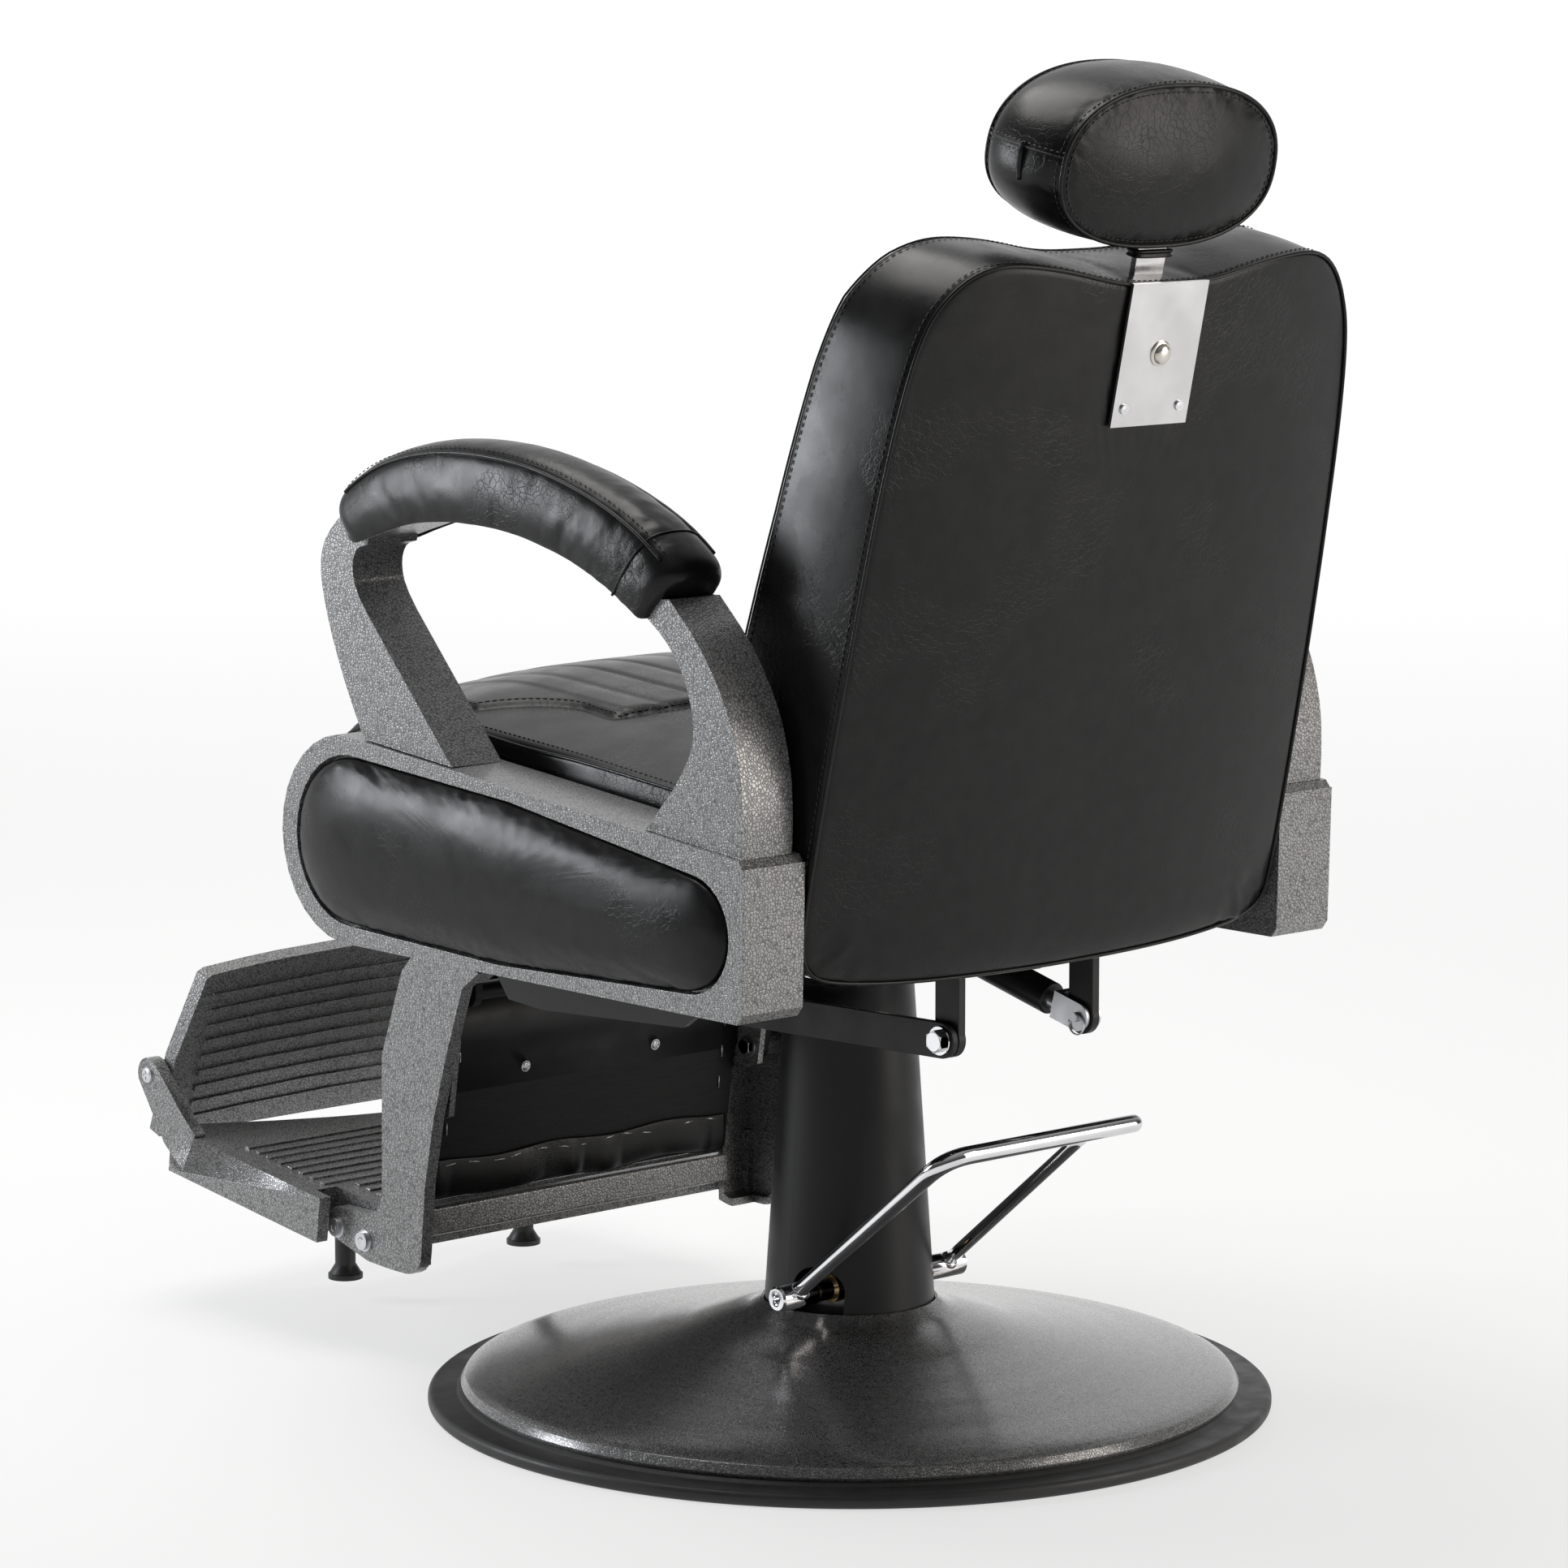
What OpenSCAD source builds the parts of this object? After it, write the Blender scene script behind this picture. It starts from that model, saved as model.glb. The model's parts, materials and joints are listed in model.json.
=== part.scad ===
// Hydraulic barber chair: round base, foot-pumped column, swivelling seat, reclining back
// with a coupled legrest, flip-over foot panel and a height-adjustable headrest.
// Millimetres. Origin on the column's axis at floor level, +Z up. The sitter faces -Y
// and has the +X side on the left.

/* [Base] */
// Diameter over the rubber ring
base_d = 724; // [660:2:760]
// Diameter of the metal dome
dome_d = 667; // [620:1:690]
// Height of the rubber ring
ring_h = 12; // [10:1:14]
// Height of the dome's collar around the column
collar_z = 84; // [78:1:90]

/* [Column] */
// Column cover's radius at its foot
cover_r_low = 73.2; // [71:0.2:76]
// Column cover's radius at its top
cover_r_high = 54.5; // [52:0.5:58]
// Height of the column cover's top edge
cover_top_z = 368; // [360:1:370]
// Radius of the ram
ram_r = 24; // [20:1:26]

/* [Pedal] */
// Distance of the pedal axle behind the column's axis
pedal_y = 25; // [20:1:30]
// Height of the pedal axle
pedal_z = 107; // [104:1:112]
// Diameter of the bent pedal bar
pedal_bar_d = 16; // [12:1:18]

/* [Seat] */
// Half the width between the outer faces of the side panels
panel_out_x = 336; // [330:1:345]
// Thickness of a side panel
panel_t = 64; // [56:1:70]
// Half width of the seat cushion
cushion_half_x = 265; // [255:1:268]
// Underside of the seat cushion
cushion_low_z = 481; // [478:1:486]

/* [Back] */
// Lean of the back from upright, in degrees
back_lean = 12.4; // [8:0.2:16]
// Height of the pivots of the back
back_pivot_z = 445; // [440:1:450]

/* [Legrest] */
// Half width over the legrest's cast brackets
bracket_out_x = 216; // [210:1:220]
// Slope of the footplate, in degrees
foot_slope = 7.7; // [4:0.1:10]
// Lean of the flip panel, in degrees
flip_lean = 20; // [15:1:24]
// Distance between the treads of the footplate
tread_pitch = 16; // [14:1:18]

/* [Hidden] */
$fn = 64;
hull_fn = 32;
fit = 0.05;
gap = 1;

cast_grey = [0.44, 0.43, 0.43];
satin_black = [0.07, 0.07, 0.075];
leather_black = [0.05, 0.05, 0.055];
bright = [0.82, 0.82, 0.84];
zinc = [0.68, 0.7, 0.72];

// ---- Side profiles: [y, z] points and the extrusion along X ----

// Extrudes a [y, z] profile from x0 to x1
module along_x(x0, x1) {
    translate([x0, 0, 0])
        rotate([90, 0, 90])
            linear_extrude(x1 - x0)
                children();
}

// A rod along X between x0 and x1
module rod_x(x0, x1, y, z, r) {
    translate([x0, y, z])
        rotate([0, 90, 0])
            cylinder(r = r, h = x1 - x0);
}

// The children and their mirror image across the chair's middle plane
module both_sides() {
    children();
    mirror([1, 0, 0]) children();
}

// Points along an arc
function arc(c, r, a0, a1, n) =
    [for (i = [0:n]) let (a = a0 + (a1 - a0) * i / n) c + r * [cos(a), sin(a)]];

// One point of a Catmull-Rom curve
function curve_point(a, b, c, d, t) =
    0.5 * (2 * b + (c - a) * t + (2 * a - 5 * b + 4 * c - d) * t * t
        + (3 * b - a - 3 * c + d) * t * t * t);

// A smooth curve through the points p, with n steps between neighbours
function smooth(p, n = 4) =
    let (last = len(p) - 1)
    concat([for (i = [0:last - 1], k = [0:n - 1])
        curve_point(p[max(i - 1, 0)], p[i], p[i + 1], p[min(i + 2, last)], k / n)],
        [p[last]]);

// ---- Base ----

plate_h = 10;
plate_r = 299;
flange_h = 12;
bolt_xy = 58;
housing_r = 48;
housing_top_z = 137;
cylinder_r = 38;
cylinder_top_z = 350;
ram_low_z = 142;
ram_top_z = 372;
slot_r = 22;
dome_t = 3;
plunger_y = pedal_y + 14.6;
plunger_r = 5;
plunger_low_z = 50;
axle_r = 9;
axle_end_r = 11;
axle_flat = 4;
bush_r = 12;

// Outer outline of the dome, from its rim to its collar, as [radius, z]
dome_r = dome_d / 2;
rim_z = ring_h + 3;
dome_outline = smooth([
    [dome_r - 2, rim_z], [dome_r, rim_z + 4], [dome_r - 5, rim_z + 11],
    [dome_r - 24, ring_h + 20], [dome_r - 90, ring_h + 32], [dome_r - 170, ring_h + 48],
    [cover_r_low + 45, collar_z - 11], [cover_r_low + 16, collar_z - 3],
    [cover_r_low + 2, collar_z + 6]
], 3);

module base_plate() {
    color("dimgray")
        difference() {
            cylinder(r = plate_r, h = plate_h, $fn = 128);
            for (x = [-bolt_xy, bolt_xy], y = [-bolt_xy, bolt_xy])
                translate([x, y, 2]) cylinder(r = 5, h = plate_h);
        }
}

module base_ring() {
    r = base_d / 2;
    color(satin_black)
        rotate_extrude($fn = 160)
            polygon([
                [plate_r, 0], [r - 5, 0], [r - 1.5, 1.5], [r, 5], [r, ring_h - 5],
                [r - 1.5, ring_h - 1.5], [r - 5, ring_h], [dome_r + 4, ring_h],
                [dome_r + 1, rim_z], [plate_r, rim_z]
            ]);
}

module base_dome() {
    inner = [for (i = [len(dome_outline) - 1:-1:0])
        dome_outline[i] - [i > 4 ? 0 : dome_t, i > 4 ? dome_t + 0.6 : 0]];
    color([0.3, 0.3, 0.31])
        rotate_extrude($fn = 160)
            polygon(concat(dome_outline, inner));
}

module pump_housing() {
    half = 75;
    color("dimgray")
        difference() {
            union() {
                translate([-half, -half, plate_h]) cube([2 * half, 2 * half, flange_h]);
                translate([0, 0, plate_h]) cylinder(r = housing_r, h = housing_top_z - plate_h);
                translate([0, 0, plate_h]) cylinder(r = cylinder_r, h = cylinder_top_z - plate_h);
            }
            for (x = [-bolt_xy, bolt_xy], y = [-bolt_xy, bolt_xy])
                translate([x, y, 0]) cylinder(r = 5.5, h = 60);
            translate([0, 0, ram_low_z - 1]) cylinder(r = ram_r + fit, h = 300);
            rod_x(-60, 60, pedal_y, pedal_z, bush_r);
            translate([-14, 3, 86]) cube([28, 42, 40]);
            translate([0, plunger_y, plunger_low_z - 6]) cylinder(r = plunger_r + fit, h = 50);
        }
}

module pump_bolts() {
    color(zinc)
        for (x = [-bolt_xy, bolt_xy], y = [-bolt_xy, bolt_xy])
            translate([x, y, 2]) {
                cylinder(r = 5, h = plate_h + flange_h - 2);
                translate([0, 0, plate_h + flange_h - 2]) cylinder(r = 9, h = 7, $fn = 6);
            }
}

module column_cover() {
    wall = 2;
    low = collar_z + 2;
    color(satin_black)
        difference() {
            translate([0, 0, low])
                cylinder(r1 = cover_r_low, r2 = cover_r_high, h = cover_top_z - low, $fn = 128);
            translate([0, 0, low - 0.01])
                cylinder(r1 = cover_r_low - wall, r2 = cover_r_high - wall,
                    h = cover_top_z - low - wall, $fn = 128);
            cylinder(r = ram_r + 2, h = cover_top_z + 1);
            rod_x(-90, 90, pedal_y + 3, pedal_z, slot_r);
            translate([-90, pedal_y + 3 - slot_r, low - 5]) cube([180, 2 * slot_r, pedal_z - low + 5]);
        }
}

module column_gland() {
    color(zinc)
        difference() {
            translate([0, 0, cylinder_top_z]) cylinder(r = cylinder_r - 4, h = 8, $fn = 6);
            translate([0, 0, cylinder_top_z - 1]) cylinder(r = ram_r + fit, h = 10);
        }
}

module pedal_bushes() {
    color("goldenrod")
        both_sides()
            difference() {
                rod_x(20, 46, pedal_y, pedal_z, bush_r);
                rod_x(19, 47, pedal_y, pedal_z, axle_r + fit);
            }
}

module pump_plunger() {
    color(bright)
        translate([0, plunger_y, plunger_low_z])
            cylinder(r = plunger_r, h = pedal_z - axle_flat - 0.6 - plunger_low_z);
}

// ---- Pedal ----

pedal_half = 107;
arm_x = 87;
bend_y = 210;
bend_z = 254;
bar_end_x = -131;

module pedal_axle() {
    color(bright) {
        rod_x(-pedal_half, -64, pedal_y, pedal_z, axle_end_r);
        rod_x(64, pedal_half, pedal_y, pedal_z, axle_end_r);
        rod_x(-65, 65, pedal_y, pedal_z, axle_r);
        translate([-8, pedal_y, pedal_z - axle_flat]) cube([16, 18, 2 * axle_flat]);
    }
}

// A straight round bar from p to q
module bar(p, q, r) {
    d = q - p;
    len_d = norm(d);
    translate(p)
        rotate([0, acos(d[2] / len_d), atan2(d[1], d[0])])
            cylinder(r = r, h = len_d);
}

module pedal_bar() {
    r = pedal_bar_d / 2;
    thin = r - 2;
    up = [0, bend_y - pedal_y, bend_z - pedal_z];
    dir = up / norm(up);
    foot = [arm_x, pedal_y, pedal_z] + 9 * dir;
    corner = [arm_x, bend_y, bend_z];
    right_top = [-76, bend_y, bend_z];
    color(bright)
        difference() {
            union() {
                bar(foot, corner, thin);
                translate(corner) sphere(r = r - 1);
                bar([arm_x, bend_y, bend_z], [bar_end_x, bend_y, bend_z], r);
                translate([bar_end_x, bend_y, bend_z]) sphere(r = r);
                bar([-arm_x, pedal_y, pedal_z] + 9 * dir, right_top, thin);
            }
            rod_x(-pedal_half, pedal_half, pedal_y, pedal_z, axle_end_r);
        }
}

// ---- Lift ----

flange_r = 48;
ram_flange_z = 380;
washer_z = 383;
spindle_r = 14;

module ram() {
    color(bright)
        difference() {
            union() {
                translate([0, 0, ram_low_z]) cylinder(r = ram_r, h = ram_top_z - ram_low_z);
                translate([0, 0, ram_top_z]) cylinder(r = flange_r, h = ram_flange_z - ram_top_z);
            }
            translate([0, 0, 340]) cylinder(r = spindle_r + fit, h = 60);
        }
}

module thrust_washer() {
    color("goldenrod")
        difference() {
            translate([0, 0, ram_flange_z]) cylinder(r = flange_r - 4, h = washer_z - ram_flange_z);
            translate([0, 0, ram_flange_z - 1]) cylinder(r = 20, h = 10);
        }
}

// ---- Seat structure ----

mount_top_z = 404;
rail_top_z = 440;
cross_top_z = 465;
plate_in_x = 200;
plate_out_x = 208;
tube_y = [-190, 60];
tube_w = 25;
pin_r = 8;
leg_pivot = [-290, 410];
back_pivot = [210, back_pivot_z];
spring_x = 77;
spring_front = [-110, 430];
spring_rear = [204, 352];
panel_in_x = panel_out_x - panel_t;

module seat_mount() {
    color("dimgray") {
        translate([0, 0, 345]) cylinder(r = spindle_r, h = washer_z - 345);
        translate([0, 0, washer_z]) cylinder(r = flange_r + 4, h = 11);
        translate([-58, -100, washer_z + 11]) cube([116, 200, mount_top_z - washer_z - 11]);
    }
}

// Outline of the steel plates along the sides of the seat
side_plate_outline = [
    [-310, 392], [-310, cross_top_z], [128, cross_top_z], [128, 400], [70, 385], [20, 352],
    [-160, 342], [-205, 345], [-232, 378], [-280, 384]
];

module seat_frame() {
    color(satin_black)
        difference() {
            union() {
                both_sides() {
                    translate([35, -240, mount_top_z]) cube([20, 355, rail_top_z - mount_top_z]);
                    along_x(plate_in_x, plate_out_x) polygon(side_plate_outline);
                    for (y = tube_y)
                        translate([plate_out_x, y, rail_top_z])
                            cube([panel_in_x - plate_out_x, tube_w, tube_w]);
                }
                for (y = tube_y)
                    translate([-plate_in_x, y, rail_top_z])
                        cube([2 * plate_in_x, tube_w, cross_top_z - rail_top_z]);
                translate([-62, spring_front[0] - 14, spring_front[1] - 14]) cube([8, 28, 24]);
                rod_x(-spring_x - 9, -54, spring_front[0], spring_front[1], 5);
            }
            both_sides() rod_x(plate_in_x - 1, plate_out_x + 1, leg_pivot[0], leg_pivot[1], pin_r);
        }
}

module seat_pan() {
    color("burlywood")
        translate([-258, -350, cross_top_z])
            cube([516, 470, cushion_low_z - cross_top_z - gap]);
}

// Side and front profiles that bound the seat cushion
seat_side = concat(
    [[-352, cushion_low_z], [-378, 500]],
    smooth([[-387, 530], [-383, 568], [-360, 598], [-300, 613], [-230, 620],
        [-140, 612], [-40, 600], [60, 592], [128, 588]], 3),
    [[131, 575], [131, cushion_low_z]]
);
seat_front = concat(
    [[-cushion_half_x, cushion_low_z]],
    smooth([[-cushion_half_x, 582], [-250, 594], [-190, 606], [-95, 617], [0, 621],
        [95, 617], [190, 606], [250, 594], [cushion_half_x, 582]], 3),
    [[cushion_half_x, cushion_low_z]]
);

module seat_cushion() {
    color(leather_black)
        intersection() {
            along_x(-300, 300) polygon(seat_side);
            translate([0, 200, 0]) rotate([90, 0, 0]) linear_extrude(700) polygon(seat_front);
        }
}

module pivot_pins() {
    color(zinc)
        both_sides() {
            rod_x(leg_arm_x - 4, plate_out_x + 4, leg_pivot[0], leg_pivot[1], pin_r);
            rod_x(leg_arm_x - 4, leg_arm_x - gap, leg_pivot[0], leg_pivot[1], 12);
            rod_x(246, panel_out_x - 14, back_pivot[0], back_pivot[1], pin_r);
        }
}

// ---- Side panels ----

// Height of a panel's sloping top edge at y
function panel_top(y) = 560 - (y + 73) * 0.098;

// Outline of a side panel, pulled in by d all round
function panel_outline(d) = concat(
    arc([-262, 489.5], 89.5 - d, 264, 96, 14),
    [[-73, panel_top(-73) - d], [236 - d, panel_top(236) - d], [242 - d, panel_top(242) - 7 - d],
        [243 - d, 524], [240 - d, 408 + d], [234 - d, 400 + d], [-150, 400 + d]]
);

module panel_pad_outline(d) {
    hull() {
        translate([-258, 489]) circle(r = 73 - d, $fn = hull_fn);
        translate([-60, 478]) circle(r = 69 - d, $fn = hull_fn);
        translate([176, 465]) circle(r = 48 - d, $fn = hull_fn);
    }
}

pad_seat_x = panel_out_x - 10;
arm_screw_x = (panel_in_x + panel_out_x) / 2;
arm_screw_y = [-185, 180];
arm_screw_r = 4;

// A hollow casting with bosses for its frame bolts and the back's pivot
module side_panel() {
    wall = 5;
    difference() {
        along_x(panel_in_x, panel_out_x) polygon(panel_outline(0));
        difference() {
            along_x(panel_in_x + wall, pad_seat_x - wall) polygon(panel_outline(8));
            rod_x(panel_in_x, panel_out_x, back_pivot[0], back_pivot[1], 20);
            for (y = tube_y)
                translate([panel_in_x, y - tube_w / 2, 425]) cube([60, 2 * tube_w, 55]);
        }
        along_x(pad_seat_x, panel_out_x + 1) panel_pad_outline(0);
        rod_x(panel_in_x - 1, panel_out_x - 14, back_pivot[0], back_pivot[1], pin_r);
        for (y = arm_screw_y)
            translate([arm_screw_x, y, 500]) cylinder(r = arm_screw_r + 0.2, h = 90);
    }
}

module side_panel_left() { color(cast_grey) side_panel(); }
module side_panel_right() { color(cast_grey) mirror([1, 0, 0]) side_panel(); }

module side_pad() {
    along_x(pad_seat_x, panel_out_x + 4) panel_pad_outline(gap);
}

module side_pad_left() { color(leather_black) side_pad(); }
module side_pad_right() { color(leather_black) mirror([1, 0, 0]) side_pad(); }

// ---- Arms ----

arm_in_x = 278;
arm_out_x = 331;
pad_in_x = 270;
pad_out_x = 340;
bar_h = 20;

// Lower edge of the arm pad, front to rear
pad_low = smooth([[-245, 742], [-203, 755], [-160, 765], [-100, 769], [-30, 764],
    [40, 748], [90, 727], [126, 706]], 3);
// Top of the arm pad, rear to front
pad_top = smooth([[166, 742], [152, 762], [110, 789], [50, 813], [-15, 829], [-80, 835],
    [-150, 832], [-215, 817], [-258, 795], [-279, 772]], 3);

// Loop of the arm: the outer outline, then the inner one
arm_outer = concat(
    smooth([[-243, panel_top(-243)], [-269, 624], [-290, 673], [-300, 715], [-293, 742],
        [-272, 763]], 3),
    [for (p = pad_low) p + [0, bar_h]],
    smooth([[149, 727], [188, 689], [218, 643], [232, 598], [235, 560],
        [234, panel_top(234)]], 3)
);
arm_inner = concat(
    [[119, panel_top(119)]],
    smooth([[152, 576], [171, 603], [177, 628], [167, 665], [145, 693], [122, 710]], 3),
    [for (i = [len(pad_low) - 2:-1:1]) pad_low[i] + [0, 1]],
    smooth([[-236, 741], [-250, 736], [-256, 720], [-247, 696], [-205, 649],
        [-125, panel_top(-125)]], 3)
);

module arm_frame() {
    difference() {
        along_x(arm_in_x, arm_out_x) polygon(concat(arm_outer, arm_inner));
        for (y = arm_screw_y)
            translate([arm_screw_x, y, 500]) cylinder(r = arm_screw_r, h = 95);
    }
}

module arm_frame_left() { color(cast_grey) arm_frame(); }
module arm_frame_right() { color(cast_grey) mirror([1, 0, 0]) arm_frame(); }

module arm_pad() {
    hollow = concat(
        [[-310, 740], [-310, 775], [-270, 775]],
        [for (p = pad_low) p + [0, bar_h + gap]],
        [[152, 728], [175, 705], [160, 690], [100, 690], [-200, 690]]
    );
    difference() {
        along_x(pad_in_x, pad_out_x) polygon(concat(pad_low, pad_top));
        along_x(arm_in_x - gap, arm_out_x + gap) polygon(hollow);
    }
}

module arm_pad_left() { color(leather_black) arm_pad(); }
module arm_pad_right() { color(leather_black) mirror([1, 0, 0]) arm_pad(); }

module seat_fasteners() {
    color(zinc)
        both_sides()
            for (y = arm_screw_y) {
                wall_z = panel_top(y) - 9;
                translate([arm_screw_x, y, wall_z - 5]) cylinder(r = 7.5, h = 4.2);
                translate([arm_screw_x, y, wall_z - 2]) cylinder(r = arm_screw_r, h = 594 - wall_z);
            }
}

// ---- Recline lever ----

lever_r = 6;
lever_corner = [-300, -60, 380];
grip_start = lever_corner - [0, 60, 0];
grip_end = lever_corner - [0, 150, 0];

module recline_lever() {
    color(satin_black) {
        rod_x(lever_corner[0], -plate_out_x - gap, lever_corner[1], lever_corner[2], lever_r);
        translate(lever_corner) sphere(r = lever_r);
        bar(lever_corner, grip_start, lever_r);
    }
}

module lever_grip() {
    color("black")
        bar(grip_start, grip_end, 10);
}

// ---- Back: built upright in its own frame, then leaned ----

back_foot = [248, 417];
rear_t = 16;
board_t = 14;
hump_x = 168;
hump_w = 587;
valley_w = 566;

// Places the children: x across, y towards the rear and z up along the leaning back
module leaned() {
    translate([0, back_foot[0], back_foot[1]])
        rotate([-back_lean, 0, 0])
            children();
}

// Outline of the back seen from behind, pulled in by d
function back_half(d) = smooth([
    [0, -12 + d], [150, -9 + d], [235, -2 + d], [262 - d, 8 + d], [270 - d, 40], [269 - d, 190],
    [260 - d, 395], [246 - d, 510], [226 - d, 556 - d / 2], [200 - d, 580 - d],
    [hump_x, hump_w - d], [110, 582 - d], [55, 571 - d], [0, valley_w - d]
], 3);
function back_outline(d) = let (h = back_half(d)) concat(
    h, [for (i = [len(h) - 2:-1:1]) [-h[i][0], h[i][1]]]
);

// Extrudes the back's outline between depths y0 and y1 of the leaned frame
module back_slab(y0, y1, d) {
    translate([0, y1, 0])
        rotate([90, 0, 0])
            linear_extrude(y1 - y0)
                polygon(back_outline(d));
}

// Depth profile of the back cushion with its lumbar swell, as [depth, height]
back_side = concat(
    [[-rear_t - board_t, -14], [-74, -13]],
    smooth([[-92, 0], [-110, 30], [-128, 90], [-144, 170], [-149, 240], [-144, 300],
        [-138, 360], [-134, 420], [-130, 480], [-125, 535], [-112, 574], [-78, 592]], 3),
    [[-rear_t - board_t, 592]]
);
frame_x = 250;
bar_y0 = 190;
bar_y1 = 218;
bar_z0 = 352;
bar_top_z = 448;
tube_y0 = 195;
tube_z0 = 433;
back_tube_w = 24;
pivot_r = 20;
link_pin_r = 5;
post_x = 200;
post_t = 27;
pin_play_r = 10.4;

// Steel frame of the back: the cross tube, the uprights, the pivot plates and the hanging bars
module back_frame() {
    color(satin_black)
        difference() {
            union() {
                translate([-frame_x, tube_y0, tube_z0])
                    cube([2 * frame_x, back_tube_w, back_tube_w]);
                both_sides() {
                    rod_x(frame_x, frame_x + 12, back_pivot[0], back_pivot[1], pivot_r);
                    translate([spring_x - 4, bar_y0, bar_z0])
                        cube([8, bar_y1 - bar_y0, bar_top_z - bar_z0]);
                    rod_x(spring_x - 4, spring_x + 4, spring_rear[0], spring_rear[1], 15);
                    leaned() translate([post_x, -46, 30]) cube([24, 15.5, 420]);
                }
            }
            both_sides() rod_x(240, 263, back_pivot[0], back_pivot[1], pin_r + fit);
            rod_x(spring_x - 5, spring_x + 5, spring_rear[0], spring_rear[1], link_pin_r);
            rod_x(-spring_x - 5, -spring_x + 5, spring_rear[0], spring_rear[1], pin_play_r);
        }
}

module back_board() {
    color("burlywood")
        difference() {
            leaned() back_slab(-rear_t - board_t, -rear_t, 8);
            leaned() translate([-24, -60, 350]) cube([48, 80, 300]);
            both_sides() rod_x(frame_x - 1, frame_x + 20, back_pivot[0], back_pivot[1], pivot_r + 0.5);
        }
}

module back_rear_panel() {
    color(leather_black)
        leaned()
            difference() {
                back_slab(-rear_t + 0.5, 0, 2);
                translate([-24, -60, plate_low + 4]) cube([48, 80, 200]);
            }
}

module back_cushion() {
    color(leather_black)
        difference() {
            leaned()
                difference() {
                    intersection() {
                        back_slab(-160, -rear_t - board_t - 0.5, 0);
                        along_x(-300, 300) polygon(back_side);
                    }
                    translate([-24, -60, 350]) cube([48, 80, 300]);
                    both_sides() translate([post_x - 2, -48, 28]) cube([28, 30, 424]);
                }
            translate([-frame_x - gap, tube_y0 - gap, 380])
                cube([2 * frame_x + 2 * gap, 90, tube_z0 + back_tube_w + 2 * gap - 380]);
            both_sides() {
                translate([spring_x - 4 - gap, bar_y0 - gap, 380])
                    cube([8 + 2 * gap, 40, bar_top_z + gap - 380]);
                rod_x(frame_x - 6, 280, back_pivot[0], back_pivot[1], pivot_r + gap);
                translate([frame_x - 5, 206, 380]) cube([30, 80, 50]);
            }
        }
}

// ---- Headrest ----

plate_w = 85;
plate_t = 2.5;
plate_low = 452;
plate_high = 569;
plate_screw_x = 31;
plate_screw_w = plate_low + 15;
button_w = 511;
button_r = 8;
bar_w = 33;
bar_t = 6;

// Polished plate with the channel that guides the headrest bar
module headrest_bracket() {
    color(bright)
        leaned()
            difference() {
                union() {
                    translate([-plate_w / 2, 0, plate_low])
                        cube([plate_w, plate_t, plate_high - plate_low]);
                    translate([-22, -post_t - 7, 360]) cube([44, post_t + 7 - rear_t - 1, 205]);
                    translate([-22, -rear_t - 2, plate_low + 6])
                        cube([44, rear_t + 2, plate_high - plate_low - 12]);
                }
                translate([-bar_w / 2 - fit, -post_t - bar_t / 2 - fit, 350])
                    cube([bar_w + 2 * fit, bar_t + 2 * fit, 240]);
                translate([0, 10, button_w]) rotate([90, 0, 0])
                    cylinder(r = button_r + fit, h = 10.01 + post_t - 6);
                for (x = [-plate_screw_x, plate_screw_x])
                    translate([x, 5, plate_screw_w]) rotate([90, 0, 0]) cylinder(r = 2, h = 10);
            }
}

module plate_screws() {
    color(zinc)
        leaned()
            for (x = [-plate_screw_x, plate_screw_x])
                translate([x, plate_t + 1.7, plate_screw_w]) rotate([90, 0, 0]) {
                    cylinder(r = 4, h = 1.7);
                    cylinder(r = 2, h = plate_t + 1.7);
                }
}

module headrest_button() {
    color([0.75, 0.73, 0.7])
        leaned()
            translate([0, 8.5, button_w]) rotate([90, 0, 0]) cylinder(r = button_r, h = 24);
}

module headrest_bar() {
    color(bright)
        leaned() {
            translate([-bar_w / 2, -post_t - bar_t / 2, 385]) cube([bar_w, bar_t, 270]);
            translate([-60, -post_t - bar_t / 2 - 8, 600]) cube([120, 8, 90]);
        }
}

module headrest_sleeve() {
    color(leather_black)
        leaned()
            difference() {
                translate([-21, -post_t - 8, 577]) cube([42, 16, 8]);
                translate([-bar_w / 2 - 0.5, -post_t - bar_t / 2 - 0.5, 570])
                    cube([bar_w + 1, bar_t + 1, 30]);
            }
}

module headrest_cushion() {
    middle_w = 656;
    color(leather_black)
        leaned()
            difference() {
                hull() {
                    translate([0, -21, middle_w]) scale([119, 14, 69]) sphere(r = 1, $fn = hull_fn);
                    translate([0, -54, middle_w]) scale([127, 32, 70]) sphere(r = 1, $fn = hull_fn);
                    translate([0, -97, middle_w]) scale([123, 28, 69]) sphere(r = 1, $fn = hull_fn);
                }
                translate([-bar_w / 2 - gap, -post_t - bar_t / 2 - gap, 570])
                    cube([bar_w + 2 * gap, bar_t + 2 * gap, 86]);
                translate([-61, -post_t - bar_t / 2 - 9, 599]) cube([122, 10, 92]);
            }
}

// ---- Linkage between the back and the legrest ----

shaft_at = [-281.6, 338.4];
link_x0 = 82;
link_x1 = 88;
link_end_r = 15;
shaft_r = 8;
shaft_play = 1.8;

module link_bar() {
    color(satin_black)
        difference() {
            hull() {
                rod_x(link_x0, link_x1, spring_rear[0], spring_rear[1], link_end_r, $fn = hull_fn);
                rod_x(link_x0, link_x1, shaft_at[0], shaft_at[1], link_end_r, $fn = hull_fn);
            }
            rod_x(link_x0 - 1, link_x1 + 1, spring_rear[0], spring_rear[1], link_pin_r + fit);
            rod_x(link_x0 - 1, link_x1 + 1, shaft_at[0], shaft_at[1], shaft_r + shaft_play);
        }
}

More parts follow.
